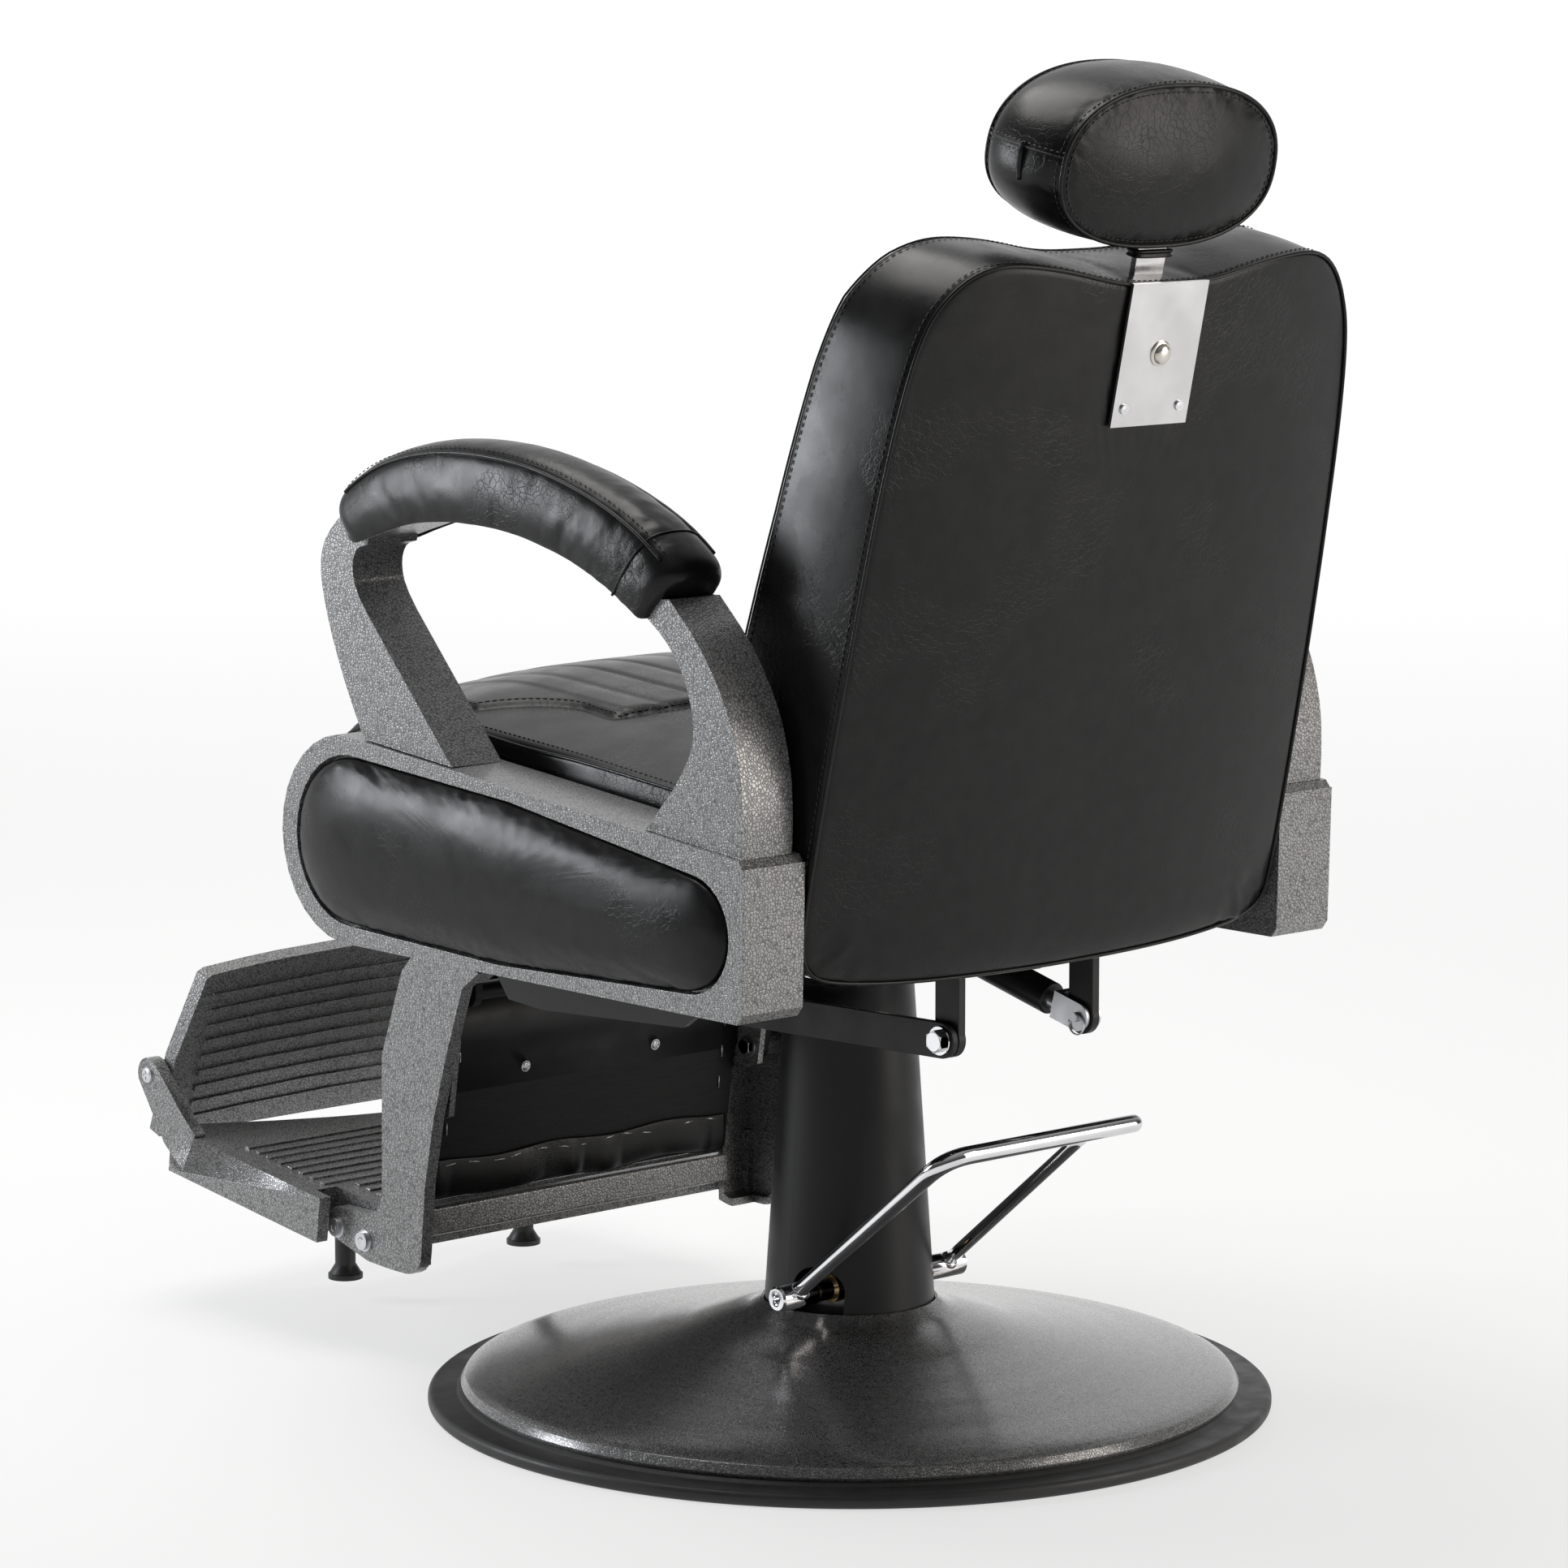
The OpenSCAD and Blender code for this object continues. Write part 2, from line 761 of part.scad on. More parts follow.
module link_bolt() {
    color(bright) {
        rod_x(spring_x - 8, link_x1 + gap, spring_rear[0], spring_rear[1], link_pin_r);
        translate([link_x1 + gap, spring_rear[0], spring_rear[1]])
            rotate([0, 90, 0]) cylinder(r = 9.5, h = 7, $fn = 6);
    }
}

// ---- Gas spring that holds the recline ----

spring_run = spring_rear - spring_front;
spring_len = norm(spring_run);
spring_angle = atan2(spring_run[1], spring_run[0]);
tube_r = 14;
tube_low = 112;
tube_high = spring_len - 38;

// Places the children with +X along the spring from its front pivot
module along_spring() {
    translate([-spring_x, spring_front[0], spring_front[1]])
        rotate([spring_angle, 0, 0])
            rotate([0, 0, 90])
                children();
}

module spring_rod() {
    color(bright)
        along_spring()
            difference() {
                union() {
                    rotate([0, 90, 0]) cylinder(r = 5, h = 185);
                    rotate([90, 0, 0]) cylinder(r = 10, h = 10, center = true);
                }
                rotate([90, 0, 0]) cylinder(r = 5 + fit, h = 30, center = true);
            }
}

module spring_cylinder() {
    color(satin_black)
        along_spring()
            difference() {
                translate([tube_low, 0, 0]) rotate([0, 90, 0]) cylinder(r = tube_r, h = tube_high - tube_low);
                translate([tube_low - 1, 0, 0]) rotate([0, 90, 0]) cylinder(r = 5 + fit, h = 6);
                translate([tube_low + 4, 0, 0]) rotate([0, 90, 0])
                    cylinder(r = tube_r - 2, h = tube_high - tube_low - 8);
            }
}

module spring_clevis() {
    cheek = 3.5;
    inner = 5;
    color(zinc)
        along_spring()
            difference() {
                union() {
                    translate([tube_high, 0, 0]) rotate([0, 90, 0]) cylinder(r = 9, h = 8);
                    translate([tube_high + 8, -inner - cheek, -12]) cube([30, 2 * (inner + cheek), 24]);
                    translate([spring_len, 0, 0]) rotate([90, 0, 0])
                        cylinder(r = 12, h = 2 * (inner + cheek), center = true);
                }
                translate([tube_high + 14, -inner, -20]) cube([60, 2 * inner, 40]);
                translate([spring_len, 0, 0]) rotate([90, 0, 0]) cylinder(r = 4, h = 60, center = true);
            }
}

module clevis_pin() {
    color(bright)
        along_spring()
            translate([spring_len, 0, 0]) rotate([90, 0, 0]) cylinder(r = 4, h = 25, center = true);
}

// ---- Legrest ----

bracket_in_x = 178;
lug_in_x = 203;
lug_bolts = [[-437, 109], [-398, 103]];
arm_bolts = [[-322, 274], [-331, 237]];
flange_t = 6;
leg_arm_x = bracket_in_x + flange_t;
leg_arm_t = 8;
wall_t = 6;
board_lean = 8;

// Outline of a legrest bracket, pulled in by d, without its lug
function bracket_outline(d) = concat(
    [[-342 + d, 352 - d], [-326 + d, 369 - d], [-240 - d, 369 - d], [-236 - 2 * d, 364 - d],
        [-258 - d, 348], [-280 - d, 288], [-299 - d, 227], [-312 - d, 165]],
    arc([-339, 104], 21 - d, 0, -90, 5),
    [[-358, 83 + d], [-372 + d, 86 + d], [-373 + d, 150], [-371 + d, 274]]
);

// Area inside a bracket's rear and lower walls, which reach less far inwards than the front one
bracket_rear_area = [
    [-275, 352], [-297, 288], [-316, 227], [-330, 165], [-340, 115], [-352, 100], [-352, 60],
    [-220, 60], [-220, 352]
];

// A shell that is open inwards, with a flange for the steel arm
module leg_bracket() {
    boss_x = leg_arm_x + leg_arm_t;
    difference() {
        union() {
            difference() {
                along_x(bracket_in_x, bracket_out_x) polygon(bracket_outline(0));
                along_x(bracket_in_x - 1, bracket_out_x - wall_t) polygon(bracket_outline(7));
                along_x(bracket_in_x - 1, bracket_out_x - 2 * wall_t) polygon(bracket_rear_area);
                along_x(bracket_in_x - 1, boss_x + gap)
                    polygon([[-330, 350], [-225, 350], [-225, 375], [-330, 375]]);
            }
            along_x(bracket_in_x, leg_arm_x)
                polygon([[-370, 214], [-342, 214], [-318, 222], [-307, 292], [-330, 296], [-370, 296]]);
            along_x(lug_in_x, bracket_out_x)
                polygon(concat([[-360, 83], [-394, 85]], arc([-435, 112], 15.5, -90, -260, 8),
                    [[-392, 128], [-378, 135], [-372, 150], [-360, 150]]));
            for (b = arm_bolts)
                rod_x(boss_x, bracket_out_x - wall_t + 1, b[0], b[1], 11);
        }
        for (b = lug_bolts) rod_x(lug_in_x - 1, bracket_out_x + 1, b[0], b[1], 4);
        for (b = arm_bolts) rod_x(bracket_in_x - 1, boss_x + 10, b[0], b[1], 4);
    }
}

module leg_bracket_left() { color(cast_grey) leg_bracket(); }
module leg_bracket_right() { color(cast_grey) mirror([1, 0, 0]) leg_bracket(); }

module leg_arm() {
    x0 = leg_arm_x;
    x1 = leg_arm_x + leg_arm_t;
    difference() {
        union() {
            hull() {
                rod_x(x0, x1, leg_pivot[0], leg_pivot[1], 17, $fn = hull_fn);
                rod_x(x0, x1, arm_bolts[1][0], arm_bolts[1][1], 13, $fn = hull_fn);
            }
            hull() {
                rod_x(x0, x1, leg_pivot[0], leg_pivot[1], 17, $fn = hull_fn);
                rod_x(x0, x1, shaft_at[0], shaft_at[1], 13, $fn = hull_fn);
            }
        }
        rod_x(x0 - 1, x1 + 1, leg_pivot[0], leg_pivot[1], pin_r + fit);
        rod_x(x0 - 1, x1 + 1, shaft_at[0], shaft_at[1], shaft_r);
        for (b = arm_bolts) rod_x(x0 - 1, x1 + 1, b[0], b[1], 4);
    }
}

module leg_arm_left() { color(satin_black) leg_arm(); }
module leg_arm_right() { color(satin_black) mirror([1, 0, 0]) leg_arm(); }

module leg_shaft() {
    color(satin_black)
        rod_x(-leg_arm_x - leg_arm_t, leg_arm_x + leg_arm_t, shaft_at[0], shaft_at[1], shaft_r);
}

module leg_cross_bar() {
    color(cast_grey)
        translate([-bracket_in_x, -372, 106]) cube([2 * bracket_in_x, 14, 26]);
}

// Places the children on the rear face of the calf board, leaned with it
module calf_frame() {
    translate([0, board_at[0], board_at[1]]) rotate([-board_lean, 0, 0]) children();
}

board_at = [-345, 250];
board_half = 176;
calf_board_t = 12;
calf_low = -113;
calf_wide_y = 31.6;

module calf_board() {
    color("black")
        calf_frame()
            translate([-board_half, -calf_board_t, calf_low]) cube([2 * board_half, calf_board_t, 212]);
}

// The pad fits between the brackets next to the board and covers their front edges
module calf_pad() {
    color(leather_black)
        calf_frame() {
            translate([-board_half, -calf_wide_y, calf_low])
                cube([2 * board_half, calf_wide_y - calf_board_t - 0.5, 215]);
            along_x(-190, 190)
                polygon(concat(
                    [[-calf_wide_y, calf_low]],
                    smooth([[-42, -111], [-53, -95], [-58, -40], [-59, 30], [-56, 80],
                        [-48, 98], [-38, 105]], 3),
                    [[-calf_wide_y, 104]]));
        }
}

module leg_fasteners() {
    color(bright) {
        both_sides() {
            for (b = lug_bolts) {
                rod_x(lug_in_x - 12, bracket_out_x + 1, b[0], b[1], 4);
                rod_x(bracket_out_x, bracket_out_x + 5, b[0], b[1], 8);
            }
            for (b = arm_bolts) {
                rod_x(bracket_in_x - 4, leg_arm_x + leg_arm_t + 6, b[0], b[1], 4);
                translate([bracket_in_x - 6, b[0], b[1]])
                    rotate([0, 90, 0]) cylinder(r = 8, h = 6, $fn = 6);
            }
        }
        calf_frame()
            for (x = [-76, 76])
                translate([x, 2.5, 0]) rotate([90, 0, 0]) cylinder(r = 5, h = 2.5);
    }
}

// ---- Footplate and flip panel ----

plate_half = 238;
tongue_half = 202;
foot_rear = [-434, 138];
skirt_h = 41;
top_t = 6;
flip_pivot = [-691, 212];
ear_t = 12;
foot_xy = [106, -570];

// Places the children with y along the sloping footplate, from its rear top edge
module on_footplate() {
    translate([0, foot_rear[0], foot_rear[1]]) rotate([-foot_slope, 0, 0]) children();
}

front_y = -224;
front_mid_y = -172;
tongue_y = 50;
notch_y = -21;
notch_x = 226;

// Concave front edge of the footplate, moved back by d
function foot_front(d) = smooth([[plate_half - 24, front_y + d], [140, -200 + d], [60, -180 + d],
    [0, front_mid_y + d], [-60, -180 + d], [-140, -200 + d], [24 - plate_half, front_y + d]], 3);

// Top view of the footplate, with a notch on each side for the lug of a bracket
foot_outline = concat(
    [[tongue_half, tongue_y], [tongue_half, notch_y], [notch_x, notch_y], [notch_x, 0],
        [plate_half, 0], [plate_half, front_y]],
    foot_front(0),
    [[-plate_half, front_y], [-plate_half, 0], [-notch_x, 0], [-notch_x, notch_y],
        [-tongue_half, notch_y], [-tongue_half, tongue_y]]
);

// Outline of the hollow under the footplate, which leaves a skirt of thickness d
function foot_hollow(d) = concat(
    [[tongue_half - d, tongue_y - d], [tongue_half - d, notch_y - d], [plate_half - d, notch_y - d],
        [plate_half - d, front_y + d]],
    foot_front(d),
    [[d - plate_half, front_y + d], [d - plate_half, notch_y - d], [d - tongue_half, notch_y - d],
        [d - tongue_half, tongue_y - d]]
);

module footplate() {
    tread_half = 212;
    tongue_tread_half = 185;
    boss_low = -32;
    color(cast_grey)
        difference() {
            union() {
                on_footplate() {
                    difference() {
                        translate([0, 0, -skirt_h]) linear_extrude(skirt_h) polygon(foot_outline);
                        translate([0, 0, -skirt_h - 1]) linear_extrude(skirt_h - top_t + 1)
                            polygon(foot_hollow(8));
                    }
                    for (x = [-foot_xy[0], foot_xy[0]])
                        translate([x, foot_xy[1] - foot_rear[0] + 1, boss_low])
                            cylinder(r = 16, h = -boss_low - 2);
                    for (i = [0:7])
                        translate([-tread_half, -34 - i * tread_pitch, -0.5]) cube([2 * tread_half, 6, 2.5]);
                    for (i = [0:3])
                        translate([-tongue_tread_half, -18 + i * tread_pitch, -0.5])
                            cube([2 * tongue_tread_half, 6, 2.5]);
                }
                both_sides()
                    along_x(plate_half - ear_t, plate_half)
                        polygon(concat([[-640, 130], [-668, 152], [-703, 202]],
                            arc(flip_pivot, 16, 200, 50, 8), [[-645, 188], [-620, 166]]));
            }
            both_sides() rod_x(plate_half - ear_t - 1, plate_half + 1, flip_pivot[0], flip_pivot[1], 5 + fit);
            both_sides()
                for (b = lug_bolts) rod_x(lug_in_x - 20, lug_in_x + 1, b[0], b[1], 4);
            for (x = [-foot_xy[0], foot_xy[0]])
                translate([x, foot_xy[1], 90]) cylinder(r = 6, h = 52);
        }
}

module foot_bumpers() {
    color("black")
        for (x = [-foot_xy[0], foot_xy[0]])
            translate([x, foot_xy[1], 22]) {
                cylinder(r = 16, h = 5);
                translate([0, 0, 5]) cylinder(r1 = 15, r2 = 9.5, h = 9);
                translate([0, 0, 14]) cylinder(r = 9.5, h = 85);
                translate([0, 0, 99]) cylinder(r = 6, h = 15);
            }
}

flip_low = -58;
flip_high = 112;
flip_face = 17;
flip_t = 16;

// Places the children on the flip panel: origin at its pivots, z up along the panel
module on_flip() {
    translate([0, flip_pivot[0], flip_pivot[1]]) rotate([-flip_lean, 0, 0]) children();
}

function flip_outline(d) = concat(
    [[-224 + d, flip_low + d], [224 - d, flip_low + d], [224 - d, 22], [208 - d, flip_high - 8 - d]],
    smooth([[202 - d, flip_high - 4 - d], [120, flip_high + 3 - d], [0, flip_high + 6 - d],
        [-120, flip_high + 3 - d], [-202 + d, flip_high - 4 - d]], 3),
    [[-208 + d, flip_high - 8 - d], [-224 + d, 22]]
);

// A rib of the flip panel, arched upwards by rib_rise, between the heights z and z + 6
rib_half = 196;
rib_rise = 7;
function rib_line(z) = [for (i = [-6:6]) [i * rib_half / 6, z + rib_rise * (1 - i * i / 36)]];
function flip_rib(z) = let (top = rib_line(z + 6)) concat(
    rib_line(z), [for (i = [len(top) - 1:-1:0]) top[i]]
);

module flip_panel() {
    color(cast_grey)
        on_flip()
            difference() {
                union() {
                    translate([0, flip_face, 0]) rotate([90, 0, 0])
                        linear_extrude(flip_t) polygon(flip_outline(0));
                    translate([0, flip_face + 2, 0]) rotate([90, 0, 0])
                        linear_extrude(2.5)
                            for (i = [0:8]) polygon(flip_rib(flip_low + 12 + i * tread_pitch));
                    both_sides() rod_x(208, 224, 0, 0, 12);
                }
                both_sides() rod_x(200, 225, 0, 0, 5);
            }
}

module flip_pad() {
    color(leather_black)
        on_flip()
            translate([0, flip_face - flip_t - 0.5, 0]) rotate([90, 0, 0])
                linear_extrude(13) polygon([
                    [-196, flip_low + 6], [196, flip_low + 6], [202, 20], [190, flip_high - 14],
                    [100, flip_high - 4], [0, flip_high], [-100, flip_high - 4],
                    [-190, flip_high - 14], [-202, 20]]);
}

module flip_pins() {
    color(bright)
        both_sides() {
            rod_x(210, plate_half, flip_pivot[0], flip_pivot[1], 5);
            rod_x(plate_half, plate_half + 2, flip_pivot[0], flip_pivot[1], 7);
        }
}

base_plate();
base_ring();
base_dome();
pump_housing();
pump_bolts();
column_cover();
column_gland();
pedal_bushes();
pump_plunger();
pedal_axle();
pedal_bar();
ram();
thrust_washer();
seat_mount();
seat_frame();
seat_pan();
seat_cushion();
pivot_pins();
seat_fasteners();
side_panel_left();
side_panel_right();
side_pad_left();
side_pad_right();
arm_frame_left();
arm_frame_right();
arm_pad_left();
arm_pad_right();
recline_lever();
lever_grip();
back_frame();
back_board();
back_rear_panel();
back_cushion();
headrest_bracket();
plate_screws();
link_bolt();
headrest_button();
headrest_bar();
headrest_sleeve();
headrest_cushion();
link_bar();
spring_rod();
spring_cylinder();
spring_clevis();
clevis_pin();
leg_bracket_left();
leg_bracket_right();
leg_arm_left();
leg_arm_right();
leg_shaft();
leg_cross_bar();
calf_board();
calf_pad();
leg_fasteners();
footplate();
foot_bumpers();
flip_panel();
flip_pad();
flip_pins();
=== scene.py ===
"""The looks of a hydraulic barber chair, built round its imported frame.

Metres, +Z up. The sitter faces -Y and has +X on the left.
"""
import json
import math

import bmesh
import bpy
import numpy as np
from mathutils import Matrix, Vector, noise
from mathutils.bvhtree import BVHTree

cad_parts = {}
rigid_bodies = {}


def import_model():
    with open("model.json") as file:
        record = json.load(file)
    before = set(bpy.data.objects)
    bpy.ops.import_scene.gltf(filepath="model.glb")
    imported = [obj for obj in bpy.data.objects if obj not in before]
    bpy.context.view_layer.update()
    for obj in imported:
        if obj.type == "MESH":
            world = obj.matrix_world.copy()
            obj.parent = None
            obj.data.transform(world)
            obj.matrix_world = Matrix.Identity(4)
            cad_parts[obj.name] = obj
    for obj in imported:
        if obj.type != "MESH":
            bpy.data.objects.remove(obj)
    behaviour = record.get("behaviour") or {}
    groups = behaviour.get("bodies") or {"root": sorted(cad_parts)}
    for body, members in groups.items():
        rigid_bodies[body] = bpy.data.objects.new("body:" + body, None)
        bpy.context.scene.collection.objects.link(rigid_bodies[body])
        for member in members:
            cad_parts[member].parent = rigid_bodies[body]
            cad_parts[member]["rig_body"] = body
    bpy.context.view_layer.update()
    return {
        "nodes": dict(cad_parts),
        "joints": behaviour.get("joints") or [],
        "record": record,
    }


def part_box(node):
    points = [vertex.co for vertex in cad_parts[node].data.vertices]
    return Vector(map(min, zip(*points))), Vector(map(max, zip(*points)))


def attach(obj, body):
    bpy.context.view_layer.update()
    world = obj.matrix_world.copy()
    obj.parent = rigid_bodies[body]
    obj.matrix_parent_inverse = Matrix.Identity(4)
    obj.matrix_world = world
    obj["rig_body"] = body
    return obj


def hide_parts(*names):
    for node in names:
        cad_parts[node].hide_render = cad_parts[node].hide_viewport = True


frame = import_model()
NODES = frame["nodes"]
X, Z = Vector((1, 0, 0)), Vector((0, 0, 1))
SIDES = {"left": 1, "right": -1}


# ---- Materials ----

def add(tree, kind, inputs=None, **settings):
    """A shader node with its settings and inputs. An input is a value or another node's socket."""
    made = tree.nodes.new("ShaderNode" + kind)
    for key, value in settings.items():
        setattr(made, key, value)
    for key, value in (inputs or {}).items():
        if isinstance(value, bpy.types.NodeSocket):
            tree.links.new(value, made.inputs[key])
        else:
            made.inputs[key].default_value = value
    return made


def start(name, metallic=0.0, coat=0.0, coat_roughness=0.1):
    """A new material, with its node tree, main shader and coordinates in metres."""
    made = bpy.data.materials.new(name)
    made.use_nodes = True
    tree = made.node_tree
    shader = tree.nodes["Principled BSDF"]
    shader.inputs["Metallic"].default_value = metallic
    shader.inputs["Coat Weight"].default_value = coat
    shader.inputs["Coat Roughness"].default_value = coat_roughness
    return made, tree, shader, add(tree, "TexCoord").outputs["Object"]


def cells(tree, place, scale, feature="F1"):
    """Distances in a pattern of cells, scale of them to a metre."""
    found = add(tree, "TexVoronoi", {"Vector": place, "Scale": scale}, feature=feature)
    return found.outputs["Distance"]


def clouds(tree, place, scale, detail=3.0):
    """Soft noise from about 0.3 to 0.7, scale blots to a metre."""
    return add(tree, "TexNoise", {"Vector": place, "Scale": scale, "Detail": detail}).outputs["Fac"]


def warped(tree, place, scale, detail, reach):
    """The coordinates pushed about by up to reach, scale waves to a metre."""
    noise_at = {"Vector": place, "Scale": scale, "Detail": detail}
    bend = add(tree, "TexNoise", noise_at).outputs["Color"]
    shift = add(tree, "VectorMath", {0: bend, "Scale": reach}, operation="SCALE").outputs[0]
    return add(tree, "VectorMath", {0: place, 1: shift}, operation="ADD").outputs[0]


def remap(tree, value, low, high, to_low=0.0, to_high=1.0):
    """Maps low..high of a value to to_low..to_high and clamps it."""
    limits = {"Value": value, "From Min": low, "From Max": high, "To Min": to_low, "To Max": to_high}
    return add(tree, "MapRange", limits).outputs["Result"]


def ramp(tree, value, stops):
    """Colours along a value. stops are (position, grey or colour)."""
    made = add(tree, "ValToRGB", {"Fac": value})
    elements = made.color_ramp.elements
    while len(elements) < len(stops):
        elements.new(0.5)
    for element, (at, colour) in zip(elements, stops):
        element.position = at
        element.color = (*colour, 1) if hasattr(colour, "__len__") else (colour, colour, colour, 1)
    return made.outputs["Color"]


def math_node(tree, operation, a, b):
    """One sum, product or other operation on two values."""
    made = add(tree, "Math", operation=operation)
    for socket, value in zip(made.inputs, (a, b)):
        if isinstance(value, bpy.types.NodeSocket):
            tree.links.new(value, socket)
        else:
            socket.default_value = value
    return made.outputs["Value"]


def bump(tree, shader, height, distance, strength=1.0, under=None):
    """Adds relief of that distance, on top of another relief."""
    inputs = {"Height": height, "Distance": distance, "Strength": strength}
    if under:
        inputs["Normal"] = under
    made = add(tree, "Bump", inputs).outputs["Normal"]
    tree.links.new(made, shader.inputs["Normal"])
    return made


def join(tree, value, shader, name):
    tree.links.new(value, shader.inputs[name])


def hammered(name, scale, dark, middle, light, roughness, metallic=0.5, coat=0.2):
    """Hammered powder coat: light metallic islands with dark lines between them."""
    made, tree, shader, place = start(name, metallic=metallic, coat=coat, coat_roughness=0.2)
    bent = warped(tree, place, scale * 0.8, 1.0, 0.6 / scale)
    islands = remap(tree, cells(tree, bent, scale, "DISTANCE_TO_EDGE"), 0.01, 0.2)
    blots = remap(tree, clouds(tree, place, scale * 0.35, 2.0), 0.3, 0.7, 0.7, 1.0)
    tone = math_node(tree, "MULTIPLY", islands, blots)
    join(tree, ramp(tree, tone, [(0.0, dark), (0.5, middle), (0.95, light)]), shader, "Base Color")
    join(tree, remap(tree, tone, 0.0, 1.0, roughness + 0.12, roughness - 0.05), shader, "Roughness")
    relief = bump(tree, shader, tone, 0.0004, 0.5)
    bump(tree, shader, clouds(tree, place, 22, 2.0), 0.002, 0.1, relief)
    return made


def leather(name, tone=0.006, depth=0.3):
    """Semi-gloss synthetic leather: fine pores, a net of thin creases in patches, soft undulation."""
    made, tree, shader, place = start(name)
    shader.inputs["Specular IOR Level"].default_value = 0.22
    bent = warped(tree, place, 38.0, 3.0, 0.016)
    patches = remap(tree, clouds(tree, place, 9.0, 2.0), 0.5, 0.68)

    def creases(scale, width):
        net = cells(tree, bent, scale, "DISTANCE_TO_EDGE")
        return math_node(tree, "MULTIPLY", remap(tree, net, 0.0, width, 1.0, 0.0), patches)

    lines, small = creases(150.0, 0.05), creases(330.0, 0.07)
    pores = cells(tree, place, 1300.0)
    tones = ramp(tree, clouds(tree, place, 60.0, 4.0), [(0.35, tone * 0.8), (0.65, tone * 1.35)])
    join(tree, tones, shader, "Base Color")
    blot = remap(tree, clouds(tree, place, 26.0, 4.0), 0.3, 0.7, 0.22, 0.34)
    join(tree, math_node(tree, "ADD", blot, math_node(tree, "MULTIPLY", lines, 0.12)), shader, "Roughness")
    relief = bump(tree, shader, pores, 0.0002, 0.22)
    relief = bump(tree, shader, clouds(tree, place, 17.0, 3.0), 0.004, 0.12, relief)
    relief = bump(tree, shader, small, -0.0003, depth * 0.6, relief)
    bump(tree, shader, lines, -0.0006, depth, relief)
    return made


def painted(name, tone, roughness, grain=900.0, depth=0.00012):
    """Smooth paint with a fine orange-peel grain and faint scuffs."""
    made, tree, shader, place = start(name)
    shader.inputs["Specular IOR Level"].default_value = 0.3
    scuffs = clouds(tree, place, 35.0, 5.0)
    join(tree, ramp(tree, scuffs, [(0.3, tone), (0.75, [c * 1.5 for c in tone])]), shader, "Base Color")
    join(tree, remap(tree, scuffs, 0.3, 0.7, roughness - 0.05, roughness + 0.07), shader, "Roughness")
    bump(tree, shader, clouds(tree, place, grain, 2.0), depth, 0.5)
    return made


def polished(name, tone, roughness, stretch=(1, 1, 1), streaks=0.0):
    """Bare or plated metal. stretch draws the fine scratches out along one axis."""
    made, tree, shader, place = start(name, metallic=1.0)
    drawn = add(tree, "Mapping", {"Vector": place, "Scale": stretch}).outputs["Vector"]
    hair = clouds(tree, drawn, 700.0, 4.0)
    smudge = clouds(tree, place, 30.0, 3.0)
    join(tree, ramp(tree, smudge, [(0.3, [c * 0.9 for c in tone]), (0.7, tone)]), shader, "Base Color")
    rough = math_node(tree, "ADD", remap(tree, smudge, 0.3, 0.7, roughness * 0.7, roughness * 1.3),
                      math_node(tree, "MULTIPLY", hair, streaks))
    join(tree, rough, shader, "Roughness")
    bump(tree, shader, hair, 0.00004, 0.25)
    return made


def rubber(name):
    made, tree, shader, place = start(name)
    dust = clouds(tree, place, 45.0, 5.0)
    join(tree, ramp(tree, dust, [(0.3, 0.008), (0.8, 0.018)]), shader, "Base Color")
    join(tree, remap(tree, dust, 0.3, 0.7, 0.42, 0.58), shader, "Roughness")
    bump(tree, shader, clouds(tree, place, 1100.0, 2.0), 0.0002, 0.4)
    return made


def board(name, tone, layers):
    """A board with grain along X and a fine roughness, layers to a metre."""
    made, tree, shader, place = start(name)
    drawn = add(tree, "Mapping", {"Vector": place, "Scale": (1.5, 14, 14)}).outputs["Vector"]
    grain = clouds(tree, drawn, 22.0, 6.0)
    join(tree, ramp(tree, grain, [(0.3, [c * 0.6 for c in tone]), (0.7, tone)]), shader, "Base Color")
    shader.inputs["Roughness"].default_value = 0.6
    shader.inputs["Specular IOR Level"].default_value = 0.25
    bump(tree, shader, math_node(tree, "ADD", grain, clouds(tree, place, layers, 1.0)), 0.0003, 0.4)
    return made


def fabric_thread(name):
    made, tree, shader, place = start(name)
    twist = add(tree, "TexWave", {"Vector": place, "Scale": 900.0, "Distortion": 1.0}).outputs["Fac"]
    join(tree, ramp(tree, twist, [(0.2, 0.012), (0.8, 0.03)]), shader, "Base Color")
    shader.inputs["Roughness"].default_value = 0.5
    bump(tree, shader, twist, 0.0002, 0.5)
    return made


MATERIALS = {
    "hammered_casting": hammered("hammered_casting", 340.0, 0.06, 0.2, 0.3, 0.33, 0.4, 0.5),
    "dome_paint": hammered("dome_paint", 480.0, 0.035, 0.1, 0.22, 0.25, 0.6, 0.9),
    "satin_black_steel": painted("satin_black_steel", [0.006, 0.006, 0.0065], 0.4),
    "black_leather": leather("black_leather"),
    "chrome": polished("chrome", [0.82, 0.82, 0.84], 0.07),
    "polished_plate": polished("polished_plate", [0.6, 0.6, 0.61], 0.16, (1, 0.03, 0.03), 0.08),
    "zinc": polished("zinc", [0.62, 0.63, 0.65], 0.3, streaks=0.1),
    "nickel": polished("nickel", [0.66, 0.63, 0.58], 0.22, streaks=0.1),
    "raw_steel": polished("raw_steel", [0.3, 0.3, 0.31], 0.4, (0.05, 1, 1), 0.15),
    "black_rubber": rubber("black_rubber"),
    "bronze": polished("bronze", [0.6, 0.42, 0.2], 0.3, streaks=0.1),
    "plywood": board("plywood", [0.05, 0.036, 0.027], 500.0),
    "black_board": board("black_board", [0.012, 0.012, 0.013], 700.0),
    "black_plastic": painted("black_plastic", [0.012, 0.012, 0.012], 0.5, 600.0, 0.0003),
}
THREAD = fabric_thread("black_thread")


# ---- Making pieces ----

